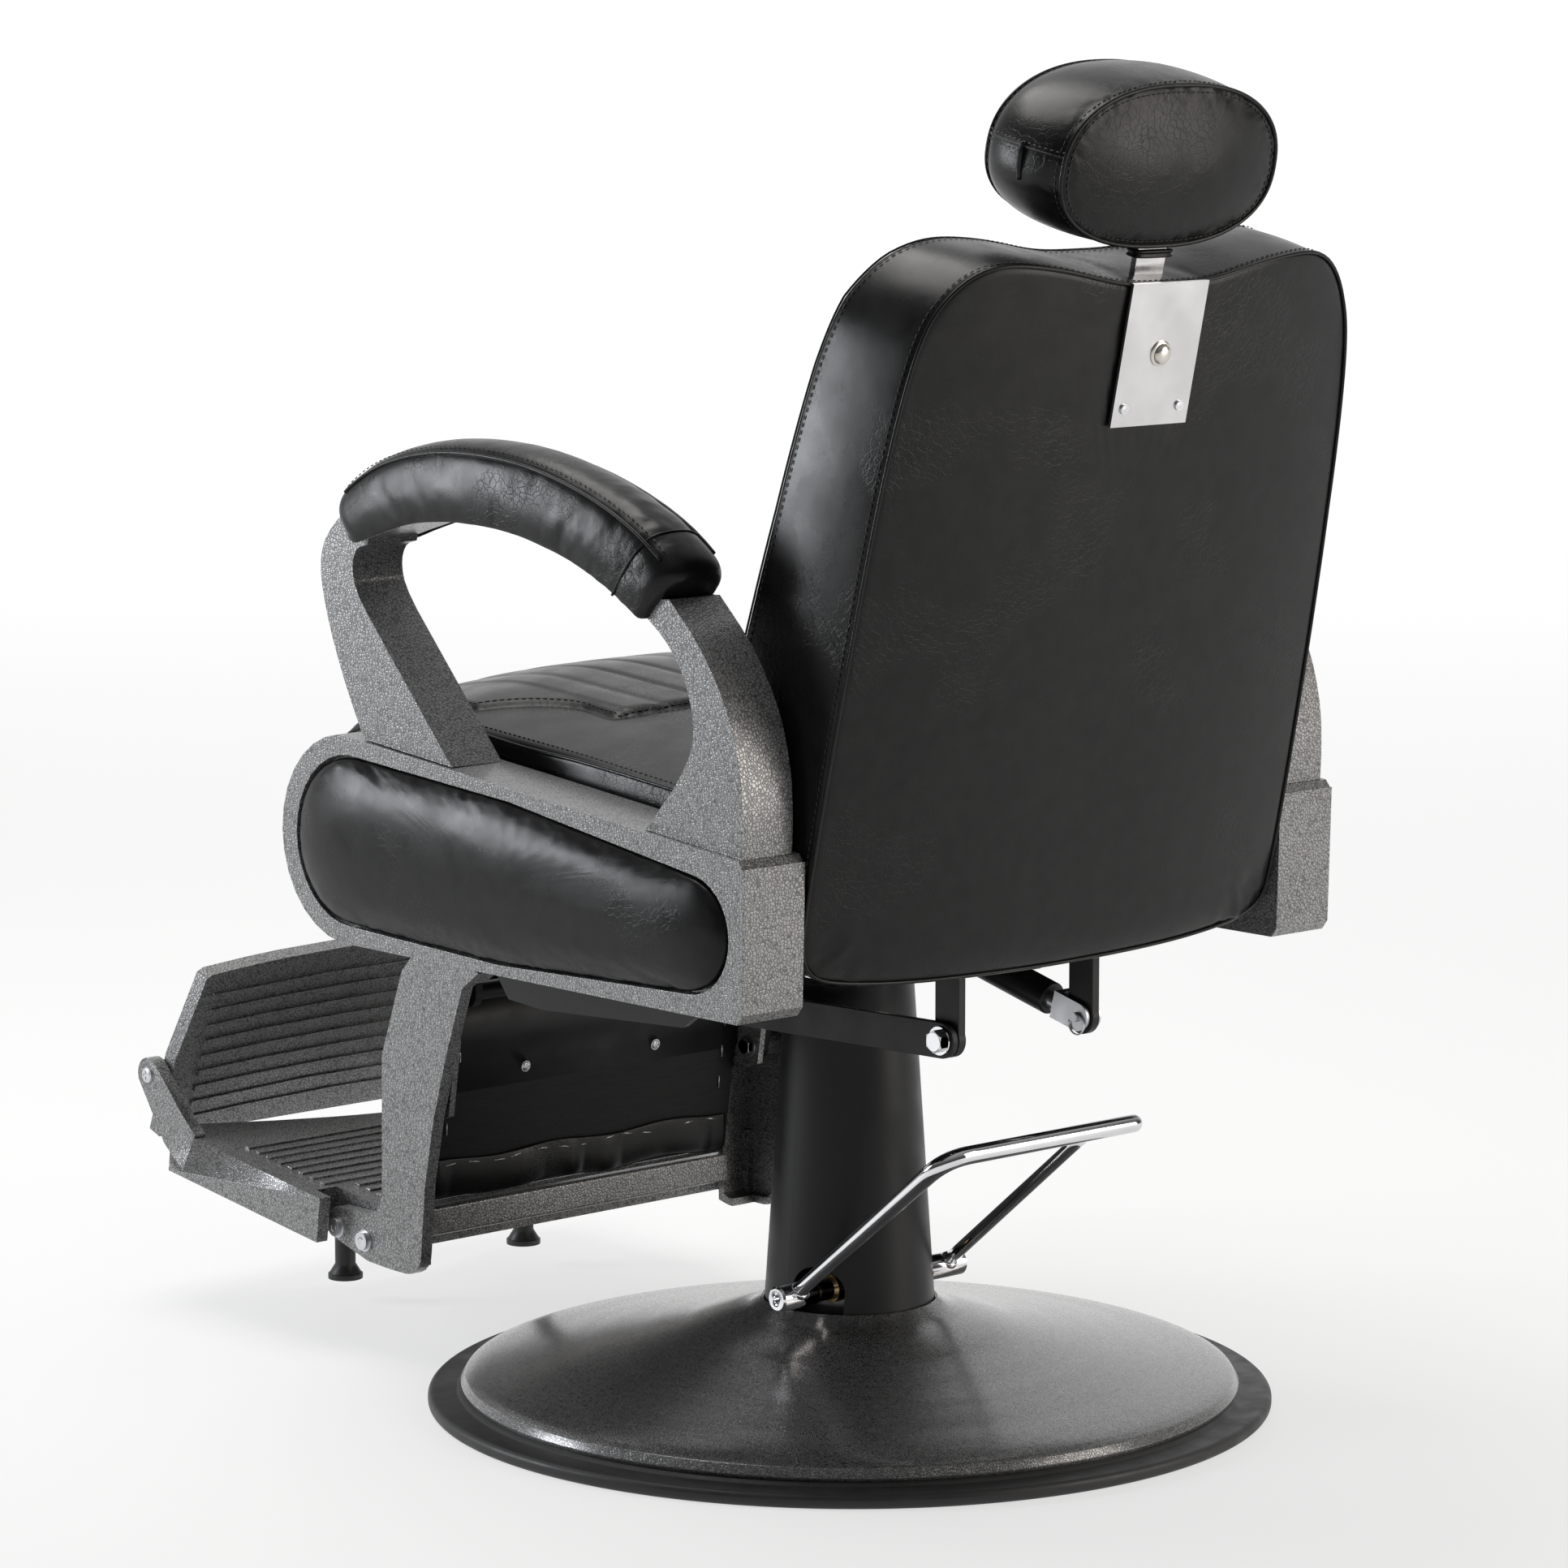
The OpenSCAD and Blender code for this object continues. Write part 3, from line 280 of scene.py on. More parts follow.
def finish_piece(made, body, slot, replaces=(), material=None):
    """Gives a new object its material, slot and body, and hides the nodes it stands for."""
    made.data.materials.clear()
    made.data.materials.append(material or MATERIALS[slot])
    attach(made, body)
    if replaces:
        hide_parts(*replaces)
    return made


def smooth_object(name, mesh):
    """A new object of a mesh with smooth faces."""
    for polygon in mesh.polygons:
        polygon.use_smooth = True
    made = bpy.data.objects.new(name, mesh)
    bpy.context.scene.collection.objects.link(made)
    return made


def mesh_object(name, points, faces):
    """A smooth object made of points and faces, with its normals outwards."""
    mesh = bpy.data.meshes.new(name)
    mesh.from_pydata([tuple(p) for p in points], [], faces)
    bm = bmesh.new()
    bm.from_mesh(mesh)
    bmesh.ops.recalc_face_normals(bm, faces=bm.faces)
    bm.to_mesh(mesh)
    bm.free()
    return smooth_object(name, mesh)


def apply_modifiers(made):
    """Turns the object's modifiers into its mesh."""
    bpy.context.view_layer.update()
    graph = bpy.context.evaluated_depsgraph_get()
    mesh = bpy.data.meshes.new_from_object(made.evaluated_get(graph))
    made.modifiers.clear()
    made.data = mesh
    return made


def points_of(made):
    """The object's points as an array."""
    found = np.zeros(len(made.data.vertices) * 3)
    made.data.vertices.foreach_get("co", found)
    return found.reshape(-1, 3)


def set_points(made, points):
    made.data.vertices.foreach_set("co", np.asarray(points, np.float32).ravel())
    made.data.update()


def subdivide(made, levels=1):
    """Smooths the mesh by subdivision."""
    made.modifiers.new("subdivision", "SUBSURF").levels = levels
    return apply_modifiers(made)


def welded(name):
    """A CAD node's mesh with the split corners joined."""
    bm = bmesh.new()
    bm.from_mesh(NODES[name].data)
    bmesh.ops.remove_doubles(bm, verts=bm.verts, dist=0.00002)
    return bm


def rounded(name, width, slot, segments=3):
    """Stands for a CAD node with its sharp edges rounded."""
    flat, sharp = math.radians(1.5), math.radians(32)
    bm = welded(name)
    bmesh.ops.dissolve_limit(bm, angle_limit=flat, verts=bm.verts, edges=bm.edges)
    mesh = bpy.data.meshes.new(name)
    layer = bm.edges.layers.float.new("bevel_weight_edge")
    for edge in bm.edges:
        edge[layer] = 1.0 if len(edge.link_faces) == 2 and edge.calc_face_angle(0) > sharp else 0.0
    bm.to_mesh(mesh)
    bm.free()
    made = smooth_object(name + "_finished", mesh)
    bevel = made.modifiers.new("edges", "BEVEL")
    bevel.width = width
    bevel.segments = segments
    bevel.limit_method = "WEIGHT"
    bevel.use_clamp_overlap = True
    made.modifiers.new("normals", "WEIGHTED_NORMAL").keep_sharp = True
    apply_modifiers(made)
    finish_piece(made, NODES[name]["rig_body"], slot, [name])


def cap_loop(name, direction, tolerance=0.0002):
    """Outline of a CAD node's outermost flat face in that direction, as points in order."""
    bm = welded(name)
    aim = Vector(direction).normalized()
    far = max(v.co.dot(aim) for v in bm.verts)
    flat = {f for f in bm.faces if f.normal.dot(aim) > 0.995
            and all(far - v.co.dot(aim) < tolerance for v in f.verts)}
    edges = [e for e in bm.edges if sum(f in flat for f in e.link_faces) == 1]
    follows = {}
    for e in edges:
        for a, b in (e.verts, reversed(e.verts)):
            follows.setdefault(a, []).append(b)
    loops = []
    left = set(follows)
    while left:
        first = min(left, key=lambda v: v.index)
        loop, at, before = [], first, None
        while at in left:
            left.discard(at)
            loop.append(at.co.copy())
            ahead = [v for v in follows[at] if v is not before and v in left]
            before, at = at, (ahead[0] if ahead else None)
        loops.append(np.array(loop))
    bm.free()
    return max(loops, key=lambda l: np.linalg.norm(l - np.roll(l, 1, 0), axis=1).sum())


def resample(loop, count, closed=True):
    """count points evenly spaced along a line or loop."""
    loop = np.asarray(loop, float)
    if closed:
        loop = np.vstack([loop, loop[:1]])
    step = np.linalg.norm(np.diff(loop, axis=0), axis=1)
    far = np.concatenate([[0], np.cumsum(step)])
    wanted = np.linspace(0, far[-1], count, endpoint=not closed)
    return np.stack([np.interp(wanted, far, loop[:, k]) for k in range(loop.shape[1])], 1)


def relaxed(loop, rounds):
    """Rounds a loop's corners by averaging each point with its neighbours."""
    for _ in range(rounds):
        mean = (np.roll(loop, 1, 0) + np.roll(loop, -1, 0)) / 2
        loop = (loop + mean) / 2
    return loop


def unit(vectors):
    """The vectors, one to a row, at length one."""
    return vectors / np.linalg.norm(vectors, axis=1)[:, None]


def to_edge(points, loop):
    """Distance of each point to a closed line."""
    a, b = loop, np.roll(loop, -1, 0)
    run = b - a
    size = np.maximum((run ** 2).sum(1), 1e-12)
    share = ((points[:, None] - a[None]) * run[None]).sum(2) / size[None]
    near = a[None] + np.clip(share, 0, 1)[..., None] * run[None]
    return np.linalg.norm(points[:, None] - near, axis=2).min(1)


def ring_faces(rings, count, closed=True):
    """Faces between rings of count points each, laid one after the other."""
    faces = []
    for k in range(rings - 1):
        for i in range(count if closed else count - 1):
            j = (i + 1) % count
            faces.append((k * count + i, k * count + j, (k + 1) * count + j, (k + 1) * count + i))
    return faces


def one_list(rings):
    """The points of all rings, one ring after the other."""
    return [p for ring in rings for p in ring]


def ringed(name, rings):
    """A closed surface through rings of points, its ends filled with strips from side to side."""
    count = len(rings[0])
    faces = ring_faces(len(rings), count)
    for at in (0, len(rings) - 1):
        for i in range(count // 2 - 1):
            faces.append(tuple(at * count + k for k in (i, i + 1, count - 2 - i, count - 1 - i)))
    return mesh_object(name, one_list(rings), faces)


def around(count):
    """Angles of count points evenly round a circle."""
    return np.linspace(0, 2 * math.pi, count, endpoint=False)


def tube_points(path, radius, sides=8, closed=False):
    """Rings of a round tube along a path. radius is one value or one for each point."""
    path = np.asarray(path, float)
    ahead = np.roll(path, -1, 0) - np.roll(path, 1, 0)
    if not closed:
        ahead[0], ahead[-1] = path[1] - path[0], path[-1] - path[-2]
    ahead /= np.maximum(np.linalg.norm(ahead, axis=1), 1e-9)[:, None]
    radii = np.broadcast_to(radius, len(path))
    slanting = [0.3, 0.5, 0.81]
    side = np.cross(ahead[0], slanting)
    turn = around(sides)
    rings = []
    for p, t, r in zip(path, ahead, radii):
        side = side - t * side.dot(t)
        side /= np.linalg.norm(side)
        up = np.cross(t, side)
        rings.append(p + r * (np.cos(turn)[:, None] * side + np.sin(turn)[:, None] * up))
    return rings


def tube(name, path, radius, sides=8, closed=False):
    """A round tube along a path, joined into a ring if it is closed."""
    rings = tube_points(path, radius, sides, closed)
    if not closed:
        return ringed(name, rings)
    count = len(rings)
    faces = ring_faces(count, sides)
    faces += [((count - 1) * sides + i, (count - 1) * sides + (i + 1) % sides, (i + 1) % sides, i)
              for i in range(sides)]
    return mesh_object(name, one_list(rings), faces)


def string_of_tubes(name, paths, radius, sides):
    """Many short tubes in one object. Each path has as many points as the others."""
    points, faces = [], []
    for path in paths:
        base = len(points)
        points += one_list(tube_points(path, radius, sides))
        faces += [tuple(base + i for i in face) for face in ring_faces(len(path), sides)]
    return mesh_object(name, points, faces)


def stitches(name, path, body, closed=False, pitch=0.0062, length=0.0042, radius=0.0005):
    """A row of single thread stitches along a path."""
    line = np.vstack([path, path[:1]]) if closed else np.asarray(path)
    total = np.linalg.norm(np.diff(line, axis=0), axis=1).sum()
    count = max(2, int(total / pitch))
    spots = resample(line, count * 4 + 1, closed=False)
    paths = []
    for a, b, c in zip(spots[:-1:4], spots[1::4], spots[2::4]):
        run = (c - a) / max(np.linalg.norm(c - a), 1e-9) * length / 2
        paths.append([b - run, b - run * 0.6, b + run * 0.6, b + run])
    radii = [radius * 0.2, radius, radius, radius * 0.2]
    finish_piece(string_of_tubes(name, paths, radii, 5), body, "black_leather", material=THREAD)


def welt(name, path, body, radius=0.0018, closed=True):
    """A thin leather piping along a seam."""
    finish_piece(tube(name, path, radius, 8, closed), body, "black_leather")


def turned_rings(profile, sides):
    """Rings of points round +Z, one for each (radius, z) of a profile."""
    turn = around(sides)
    return [np.stack([r * np.cos(turn), r * np.sin(turn), np.full(sides, z)], 1) for r, z in profile]


def lathe(name, profile, sides):
    """A turned shape: profile is (radius, z) from its start on the axis or rim round to its end."""
    rings = turned_rings(profile, sides)
    made = mesh_object(name, one_list(rings), ring_faces(len(rings), sides))
    bm = bmesh.new()
    bm.from_mesh(made.data)
    bmesh.ops.remove_doubles(bm, verts=bm.verts, dist=0.000001)
    bm.to_mesh(made.data)
    bm.free()
    return made


def spline(points, steps=6):
    """A smooth curve through points."""
    p = np.asarray(points, float)
    p = np.vstack([2 * p[0] - p[1], p, 2 * p[-1] - p[-2]])
    out = []
    for a, b, c, d in zip(p, p[1:], p[2:], p[3:]):
        for t in np.arange(steps) / steps:
            out.append(0.5 * (2 * b + (c - a) * t + (2 * a - 5 * b + 4 * c - d) * t ** 2
                              + (3 * b - a - 3 * c + d) * t ** 3))
    return np.array(out + [p[-2]])


def inflate(made, pinned, cap, pressure=4.0, swell=0.0):
    """Blows the piece up as cloth held at its pinned points. No point moves further than cap."""
    rest = points_of(made)
    group = made.vertex_groups.new(name="pins")
    group.add([int(i) for i in pinned], 1.0, "REPLACE")
    cloth = made.modifiers.new("cloth", "CLOTH")
    cloth.settings.vertex_group_mass = "pins"
    cloth.settings.use_pressure = True
    cloth.settings.uniform_pressure_force = pressure
    cloth.settings.effector_weights.gravity = 0
    cloth.settings.shrink_min = -swell
    cloth.settings.bending_stiffness = 0.4
    cloth.collision_settings.use_collision = False
    scene = bpy.context.scene
    last_frame = 20
    for step in range(1, last_frame + 1):
        scene.frame_set(step)
    graph = bpy.context.evaluated_depsgraph_get()
    blown = made.evaluated_get(graph).to_mesh()
    after = np.array([v.co for v in blown.vertices])
    made.modifiers.clear()
    made.vertex_groups.clear()
    scene.frame_set(1)
    move = after - rest
    size = np.linalg.norm(move, axis=1)
    move *= (np.minimum(size, cap) / np.maximum(size, 1e-9))[:, None]
    set_points(made, rest + move)


def crumple(made, where, depth, scale):
    """Pushes points along their normals by noise, where(point) from 0 to 1 says how much."""
    made.data.update()
    points = points_of(made)
    normals = np.array([v.normal for v in made.data.vertices])
    for i, p in enumerate(points):
        share = where(p)
        if share > 0:
            points[i] += normals[i] * share * depth * noise.fractal(Vector(p) * scale, 1.0, 2.0, 3)
    set_points(made, points)


# ---- The leaning frame of the back ----

BACK_UP = Vector(next(j["axis"] for j in frame["joints"] if j["name"] == "headrest_slide"))
BACK_REAR = Vector((0, BACK_UP.z, -BACK_UP.y))
rear_points = [v.co for v in NODES["back_rear_panel"].data.vertices]
REAR_PLANE = max(p.dot(BACK_REAR) for p in rear_points)
BACK_LOW = min(p.dot(BACK_UP) for p in rear_points)
BACK_HIGH = max(p.dot(BACK_UP) for p in rear_points)


def on_back(x, depth, height):
    """The point at x, depth behind the rear plane and height above the back's lower edge."""
    spot = BACK_REAR * float(REAR_PLANE + depth) + BACK_UP * float(BACK_LOW + height)
    return np.array([x, spot.y, spot.z])


def back_spans(name):
    """Depths and heights of a node's corners in the frame of the back."""
    corners = [v.co for v in NODES[name].data.vertices]
    return [p.dot(BACK_REAR) - REAR_PLANE for p in corners], [p.dot(BACK_UP) - BACK_LOW for p in corners]


def height_on_back(points):
    """Heights above the back's lower edge, along the back."""
    return points @ np.array(BACK_UP) - BACK_LOW


def back_outline(count):
    """Outline of the back seen from behind as (x, height), without the headrest's slot."""
    slot_half = 0.0245
    loop = cap_loop("back_rear_panel", BACK_REAR)
    flat = np.stack([loop[:, 0], height_on_back(loop)], 1)
    middle = (BACK_HIGH - BACK_LOW) / 2
    flat = flat[~((np.abs(flat[:, 0]) < slot_half) & (flat[:, 1] > middle))]
    start_at = np.argmin(np.abs(flat[:, 0]) + flat[:, 1] * 10)
    return relaxed(resample(np.roll(flat, -start_at, 0), count), 6)


def upholstered_back():
    """Rear panel, side band and front of the back as one skin with seams, swollen between them."""
    count = 260
    outline = back_outline(count)
    tall = BACK_HIGH - BACK_LOW
    centre = np.array([0.0, tall * 0.5])

    def rear_depth(p):
        """The rear panel is crowned from side to side and rolls over at its upper and lower edges."""
        half = 0.272 - 0.05 * (p[1] / tall) ** 3
        side = 0.021 * min(abs(p[0]) / half, 1.0) ** 2.6
        return -side - 0.006 * max(0.0, 1 - p[1] / 0.03) ** 2 - 0.0015

    def front_depth(p):
        """Depth of the front face, deepest where it bears the lower back."""
        heights = (0.0, 0.03, 0.09, 0.17, 0.24, 0.31, 0.37, 0.43, 0.49, 0.545, 0.58, 0.6)
        depths = (0.094, 0.11, 0.127, 0.142, 0.147, 0.142, 0.137, 0.133, 0.129, 0.123, 0.112, 0.1)
        return -float(np.interp(p[1], heights, depths))

    rings = []
    for share in (0.1, 0.25, 0.4, 0.55, 0.68, 0.79, 0.88, 0.94, 0.98, 1.0):
        ring = centre + share * (outline - centre)
        rings.append([on_back(p[0], rear_depth(p), p[1]) for p in ring])
    seam = [rear_depth(p) for p in outline]
    front = [front_depth(p) + 0.004 for p in outline]
    for share in (0.06, 0.2, 0.4, 0.6, 0.8, 0.94, 1.0):
        bulge = 1 + 0.006 * math.sin(math.pi * share)
        ring = centre + bulge * (outline - centre)
        rings.append([on_back(p[0], a + (b - a) * share, p[1]) for p, a, b in zip(ring, seam, front)])
    for share in (0.985, 0.955, 0.91, 0.85, 0.76, 0.64, 0.5, 0.35, 0.2, 0.08):
        ring = centre + share * (outline - centre)
        roll = (1 - min(1.0, (1 - share) / 0.1)) ** 2
        rings.append([on_back(p[0], front_depth(p) + 0.004 * roll, p[1]) for p in ring])
    made = ringed("back_upholstery", rings)
    rear_seam, front_seam = 9, 16
    pinned = [k * count + i for k in (rear_seam, front_seam) for i in range(count)]
    pinned += range(rear_seam * count)
    inflate(made, pinned, 0.005, 3.0, 0.001)
    skin = points_of(made).reshape(-1, count, 3)
    rear_line, near_rear = skin[rear_seam], skin[rear_seam + 2]
    front_line, near_front = skin[front_seam], skin[front_seam - 1]
    subdivide(made)
    press_under_plate(made)

    def corner(p):
        """Near a lower corner of the back, where the leather is gathered."""
        return math.exp(-((abs(p[0]) - 0.24) / 0.03) ** 2 - ((height_on_back(p) - 0.015) / 0.03) ** 2)

    crumple(made, corner, 0.004, 55.0)
    finish_piece(made, "back", "black_leather", ["back_cushion", "back_board", "back_rear_panel"])
    welt("back_rear_piping", rear_line, "back", 0.0016)
    welt("back_front_piping", front_line, "back", 0.0009)
    outward = unit(outline - centre)
    lift = np.stack([outward[:, 0], *(np.outer(outward[:, 1], np.array(BACK_UP))[:, 1:].T)], 1)
    for name, line, other in (("rear", rear_line, near_rear), ("front", front_line, near_front)):
        beside = line + unit(other - line) * 0.0065 + lift * 0.0008
        stitches(f"back_{name}_stitches", beside, "back", closed=True)


def press_under_plate(made):
    """Pulls the leather in round the headrest's plate, in small waves."""
    reach, depth = 0.011, 0.0012
    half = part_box("headrest_bracket")[1].x
    depths, heights = back_spans("headrest_bracket")
    bottom = min(h for d, h in zip(depths, heights) if d > 0.001)
    points = points_of(made)
    for i, p in enumerate(points):
        height = height_on_back(p)
        if p @ np.array(BACK_REAR) - REAR_PLANE > -0.03 and height > bottom - 0.04:
            off = math.hypot(max(0, abs(p[0]) - half), max(0, bottom - height))
            wave = 0.6 + 0.4 * math.sin(p[0] * 420 + height * 130)
            points[i] -= np.array(BACK_REAR) * math.exp(-(off / reach) ** 2) * depth * wave
    set_points(made, points)


# ---- Domed pads ----

def dome_pad(replaces, loop, normal, height, reach, wall, body, cap, wrinkle):
    """A pad on a flat outline: a short wall round its edge and a dome that rises within reach of it.

    Gives back the line round its foot.
    """
    count = 150
    aim = np.array(Vector(normal).normalized())
    loop = relaxed(resample(loop, count), 4)
    centre = loop.mean(0)
    rings = [loop - aim * wall]
    for share in (1.0, 0.985, 0.96, 0.92, 0.86, 0.78, 0.68, 0.56, 0.42, 0.28, 0.14):
        ring = centre + share * (loop - centre)
        away = np.minimum(to_edge(ring, loop) / reach, 1.0)
        rings.append(ring + aim * (height * np.sqrt(1 - (1 - away) ** 2))[:, None])
    made = ringed(replaces + "_leather", rings)
    inflate(made, range(2 * count), cap, 3.0)
    subdivide(made)

    def near_edge(p):
        flat = p - aim * (p - loop[0]).dot(aim)
        return math.exp(-to_edge(np.array([flat]), loop)[0] / 0.016)

    crumple(made, near_edge, wrinkle, 95.0)
    finish_piece(made, body, "black_leather", [replaces])
    return loop


def side_pads():
    for side, sign in SIDES.items():
        node = f"side_pad_{side}"
        outer = 1 if sign > 0 else 0
        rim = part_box(f"side_panel_{side}")[outer].x
        wall = abs(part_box(node)[outer].x - rim) + 0.008
        loop = cap_loop(node, X * sign)
        loop[:, 0] = rim - sign * 0.0025
        dome_pad(node, loop, X * sign, 0.0145, 0.075, wall, "seat", 0.0025, 0.0007)


# ---- Arm pads ----

ARM_CENTRE = [-0.07, 0.52]


def arm_outline(node, sign):
    """Angle from the vertical, in degrees, and distance of the arm pad's outline from the arm's centre."""
    loop = resample(cap_loop(node, X * sign)[:, 1:], 1200) - ARM_CENTRE
    return np.degrees(np.arctan2(loop[:, 0], loop[:, 1])), np.linalg.norm(loop, axis=1)


def arm_pads():
    """A padded leather cover over the upper bar of each arm."""
    section = [(-0.885, 0.02), (-0.99, 0.0), (-1.02, 0.2), (-1.03, 0.42), (-1.0, 0.6), (-0.9, 0.76),
               (-0.72, 0.89), (-0.45, 0.965), (-0.15, 0.995), (0.15, 1.0), (0.45, 0.985), (0.7, 0.94),
               (0.86, 0.86), (0.97, 0.72), (1.02, 0.52), (1.03, 0.3), (1.0, 0.08), (0.99, 0.0),
               (0.885, 0.02), (0.85, 0.36), (0.0, 0.38), (-0.85, 0.36)]
    count, seam_at, inner_seam_at, outside = len(section), 12, 6, range(1, 18)
    first, last, stations = -39.7, 45.8, 64
    across = int(stations * 0.91)
    for side, sign in SIDES.items():
        node = f"arm_pad_{side}"
        low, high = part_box(node)
        turn, reach = arm_outline(node, sign)
        outer, inner = abs(low.x if sign < 0 else high.x), abs(high.x if sign < 0 else low.x)
        half, centre_x = (outer - inner) / 2, (outer + inner) / 2
        rings = []
        for k in range(stations + 1):
            angle = first + (last - first) * k / stations
            near = reach[np.abs(turn - angle) < 0.8]
            r_low, tall = near.min(), near.max() - near.min()
            end = min(k, stations - k) / stations
            pull = 0.007 * (1 - math.sqrt(1 - (1 - min(1.0, end / 0.035)) ** 2))
            a = math.radians(angle)
            ring = []
            for u, v in section:
                seen = 1.0 if v > 0 and abs(u) > 0.1 or v > 0.9 else 0.0
                x = centre_x + (half - pull * seen * abs(u)) * u
                r = r_low + tall * v - pull * seen * v
                ring.append([sign * x, ARM_CENTRE[0] + r * math.sin(a), ARM_CENTRE[1] + r * math.cos(a)])
            rings.append(ring)
        made = ringed(node + "_leather", rings)
        held = [k * count + i for k in range(stations + 1) for i in (0, 1, 17, 18, 19, 20, 21, seam_at)]
        held += [k * count + i for k in (0, 1, stations - 1, stations) for i in range(count)]
        held += [across * count + i for i in outside]
        inflate(made, held, 0.002, 3.0, 0.002)
        skin = points_of(made).reshape(-1, count, 3)
        seam, inner_seam, top_line = (skin[3:stations - 2, i] for i in (seam_at, inner_seam_at, seam_at - 1))
        subdivide(made, 2)
        crumple(made, lambda p: 0.25 + 0.75 * math.exp(-((p[1] - 0.1) / 0.05) ** 2), 0.0006, 60.0)
        finish_piece(made, "seat", "black_leather", [node])
        seams = (("piping", seam, 160, 0.0015), ("inner_piping", inner_seam, 160, 0.0015),
                 ("end_seam", skin[across, outside], 60, 0.0012))
        for name, line, points, radius in seams:
            welt(f"{node}_{name}", resample(line, points, False), "seat", radius, closed=False)
        stitches(node + "_stitches", seam + unit(top_line - seam) * 0.006 + [0, 0, 0.0012], "seat")


# ---- Headrest ----

def headrest():
    """A bean-shaped cushion with a flat oval rear face, its seams and the zip's pull."""
    depths, heights = back_spans("headrest_cushion")
    rear, front = max(depths), min(depths)
    middle = (min(heights) + max(heights)) / 2 - 0.002
    half_w, half_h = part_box("headrest_cushion")[1].x, (max(heights) - min(heights)) / 2
    count = 96
    turn = around(count)

    def oval(width, height, depth, power=2.35):
        """One ring: an egg outline, flatter below than above."""
        c, s = np.cos(turn), np.sin(turn)
        x = width * np.sign(c) * np.abs(c) ** (2 / power)
        z = height * np.sign(s) * np.abs(s) ** (2 / power)
        z = np.where(z < 0, z * 0.94, z * 1.04)
        return [on_back(a, depth, middle + b) for a, b in zip(x, z)]

    rings, depth = [], front - rear
    for share in (0.12, 0.3, 0.5, 0.7, 0.86, 0.95, 1.0):
        rings.append(oval(0.119 * share, half_h * 0.94 * share, rear - 0.013 * share ** 2.6))
    seam_at, front_seam_at = 6, 14
    for at, w, h in ((0.15, 0.95, 0.958), (0.22, 0.973, 0.975), (0.32, 0.992, 0.99), (0.45, 1.0, 1.0),
                     (0.58, 0.998, 1.0), (0.7, 0.98, 0.988), (0.8, 0.95, 0.96), (0.88, 0.895, 0.91),
                     (0.94, 0.8, 0.82), (0.975, 0.62, 0.65), (0.995, 0.38, 0.4), (1.0, 0.14, 0.15)):
        rings.append(oval(half_w * w, half_h * h, rear + depth * at, 2.25))
    made = ringed("headrest_leather", rings)
    pinned = [k * count + i for k in (seam_at, front_seam_at) for i in range(count)]
    inflate(made, pinned, 0.003)
    skin = points_of(made).reshape(-1, count, 3)
    behind, seam, ahead = skin[seam_at - 1:seam_at + 2]
    before, front_line = skin[front_seam_at - 1:front_seam_at + 1]
    side_line = skin[seam_at:front_seam_at + 1, 2]
    subdivide(made, 2)
    crumple(made, lambda p: math.exp(-np.linalg.norm(seam - p, axis=1).min() / 0.011), 0.001, 110.0)
    finish_piece(made, "headrest", "black_leather", ["headrest_cushion"])
    welt("headrest_piping", seam, "headrest", 0.0019)
    welt("headrest_front_piping", front_line, "headrest", 0.0019)
    beside, above = 0.0055, 0.0006
    front_row = front_line + unit(before - front_line) * beside
    stitches("headrest_front_stitches", front_row, "headrest", closed=True)
    outward, rearward = unit(seam - seam.mean(0)), np.array(BACK_REAR)
    for name, other, lift in (("outer", ahead, outward), ("inner", behind, rearward)):
        stitches(f"headrest_{name}_stitches", seam + unit(other - seam) * beside + lift * above, "headrest",
                 closed=True, pitch=0.0055, length=0.0038)
    for side, sign in SIDES.items():
        line = resample(side_line * [sign, 1, 1], 50, False)
        welt(f"headrest_side_seam_{side}", line, "headrest", 0.0011, closed=False)
        for row, lift in (("upper", 0.004), ("lower", -0.004)):
            shifted = line + np.array(BACK_UP) * lift + [sign * 0.0004, 0, 0]
            stitches(f"headrest_{row}_stitches_{side}", shifted, "headrest", pitch=0.0055, length=0.0036)
    zip_pull(side_line)


def zip_pull(line):
    """A small slider and its drop-shaped pull on the near end seam."""
    at = line[len(line) // 2]
    path = [at + np.array(BACK_UP) * up + [out, 0, 0]
            for up, out in ((0.004, 0.0012), (-0.006, 0.0022), (-0.016, 0.0012), (-0.026, -0.001))]
    slider = tube("headrest_zip_slider", spline(path, 4), [0.0016] * 3 + [0.0026] * 6 + [0.002] * 4, 8)
    finish_piece(slider, "headrest", "black_leather", material=MATERIALS["satin_black_steel"])


def sleeve():
    """The gathered leather cuff between the headrest and its bar."""
    half_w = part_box("headrest_sleeve")[1].x
    depths, heights = back_spans("headrest_sleeve")
    mid_d, half_d = (min(depths) + max(depths)) / 2, (max(depths) - min(depths)) / 2
    c, s = np.cos(around(48)), np.sin(around(48))
    rings = []
    for t in np.linspace(0, 1, 13):
        fat = 1 + 0.05 * math.sin(t * math.pi * 3)
        x = half_w * fat * np.sign(c) * np.abs(c) ** 0.5
        d = mid_d + half_d * fat * np.sign(s) * np.abs(s) ** 0.5
        h = min(heights) + (max(heights) - min(heights) + 0.004) * (0.5 + 0.5 * t)
        rings.append([on_back(a, b, h) for a, b in zip(x, d)])
    made = ringed("headrest_sleeve_leather", rings)
    finish_piece(made, "headrest", "black_leather", ["headrest_sleeve"])


# ---- Seat ----

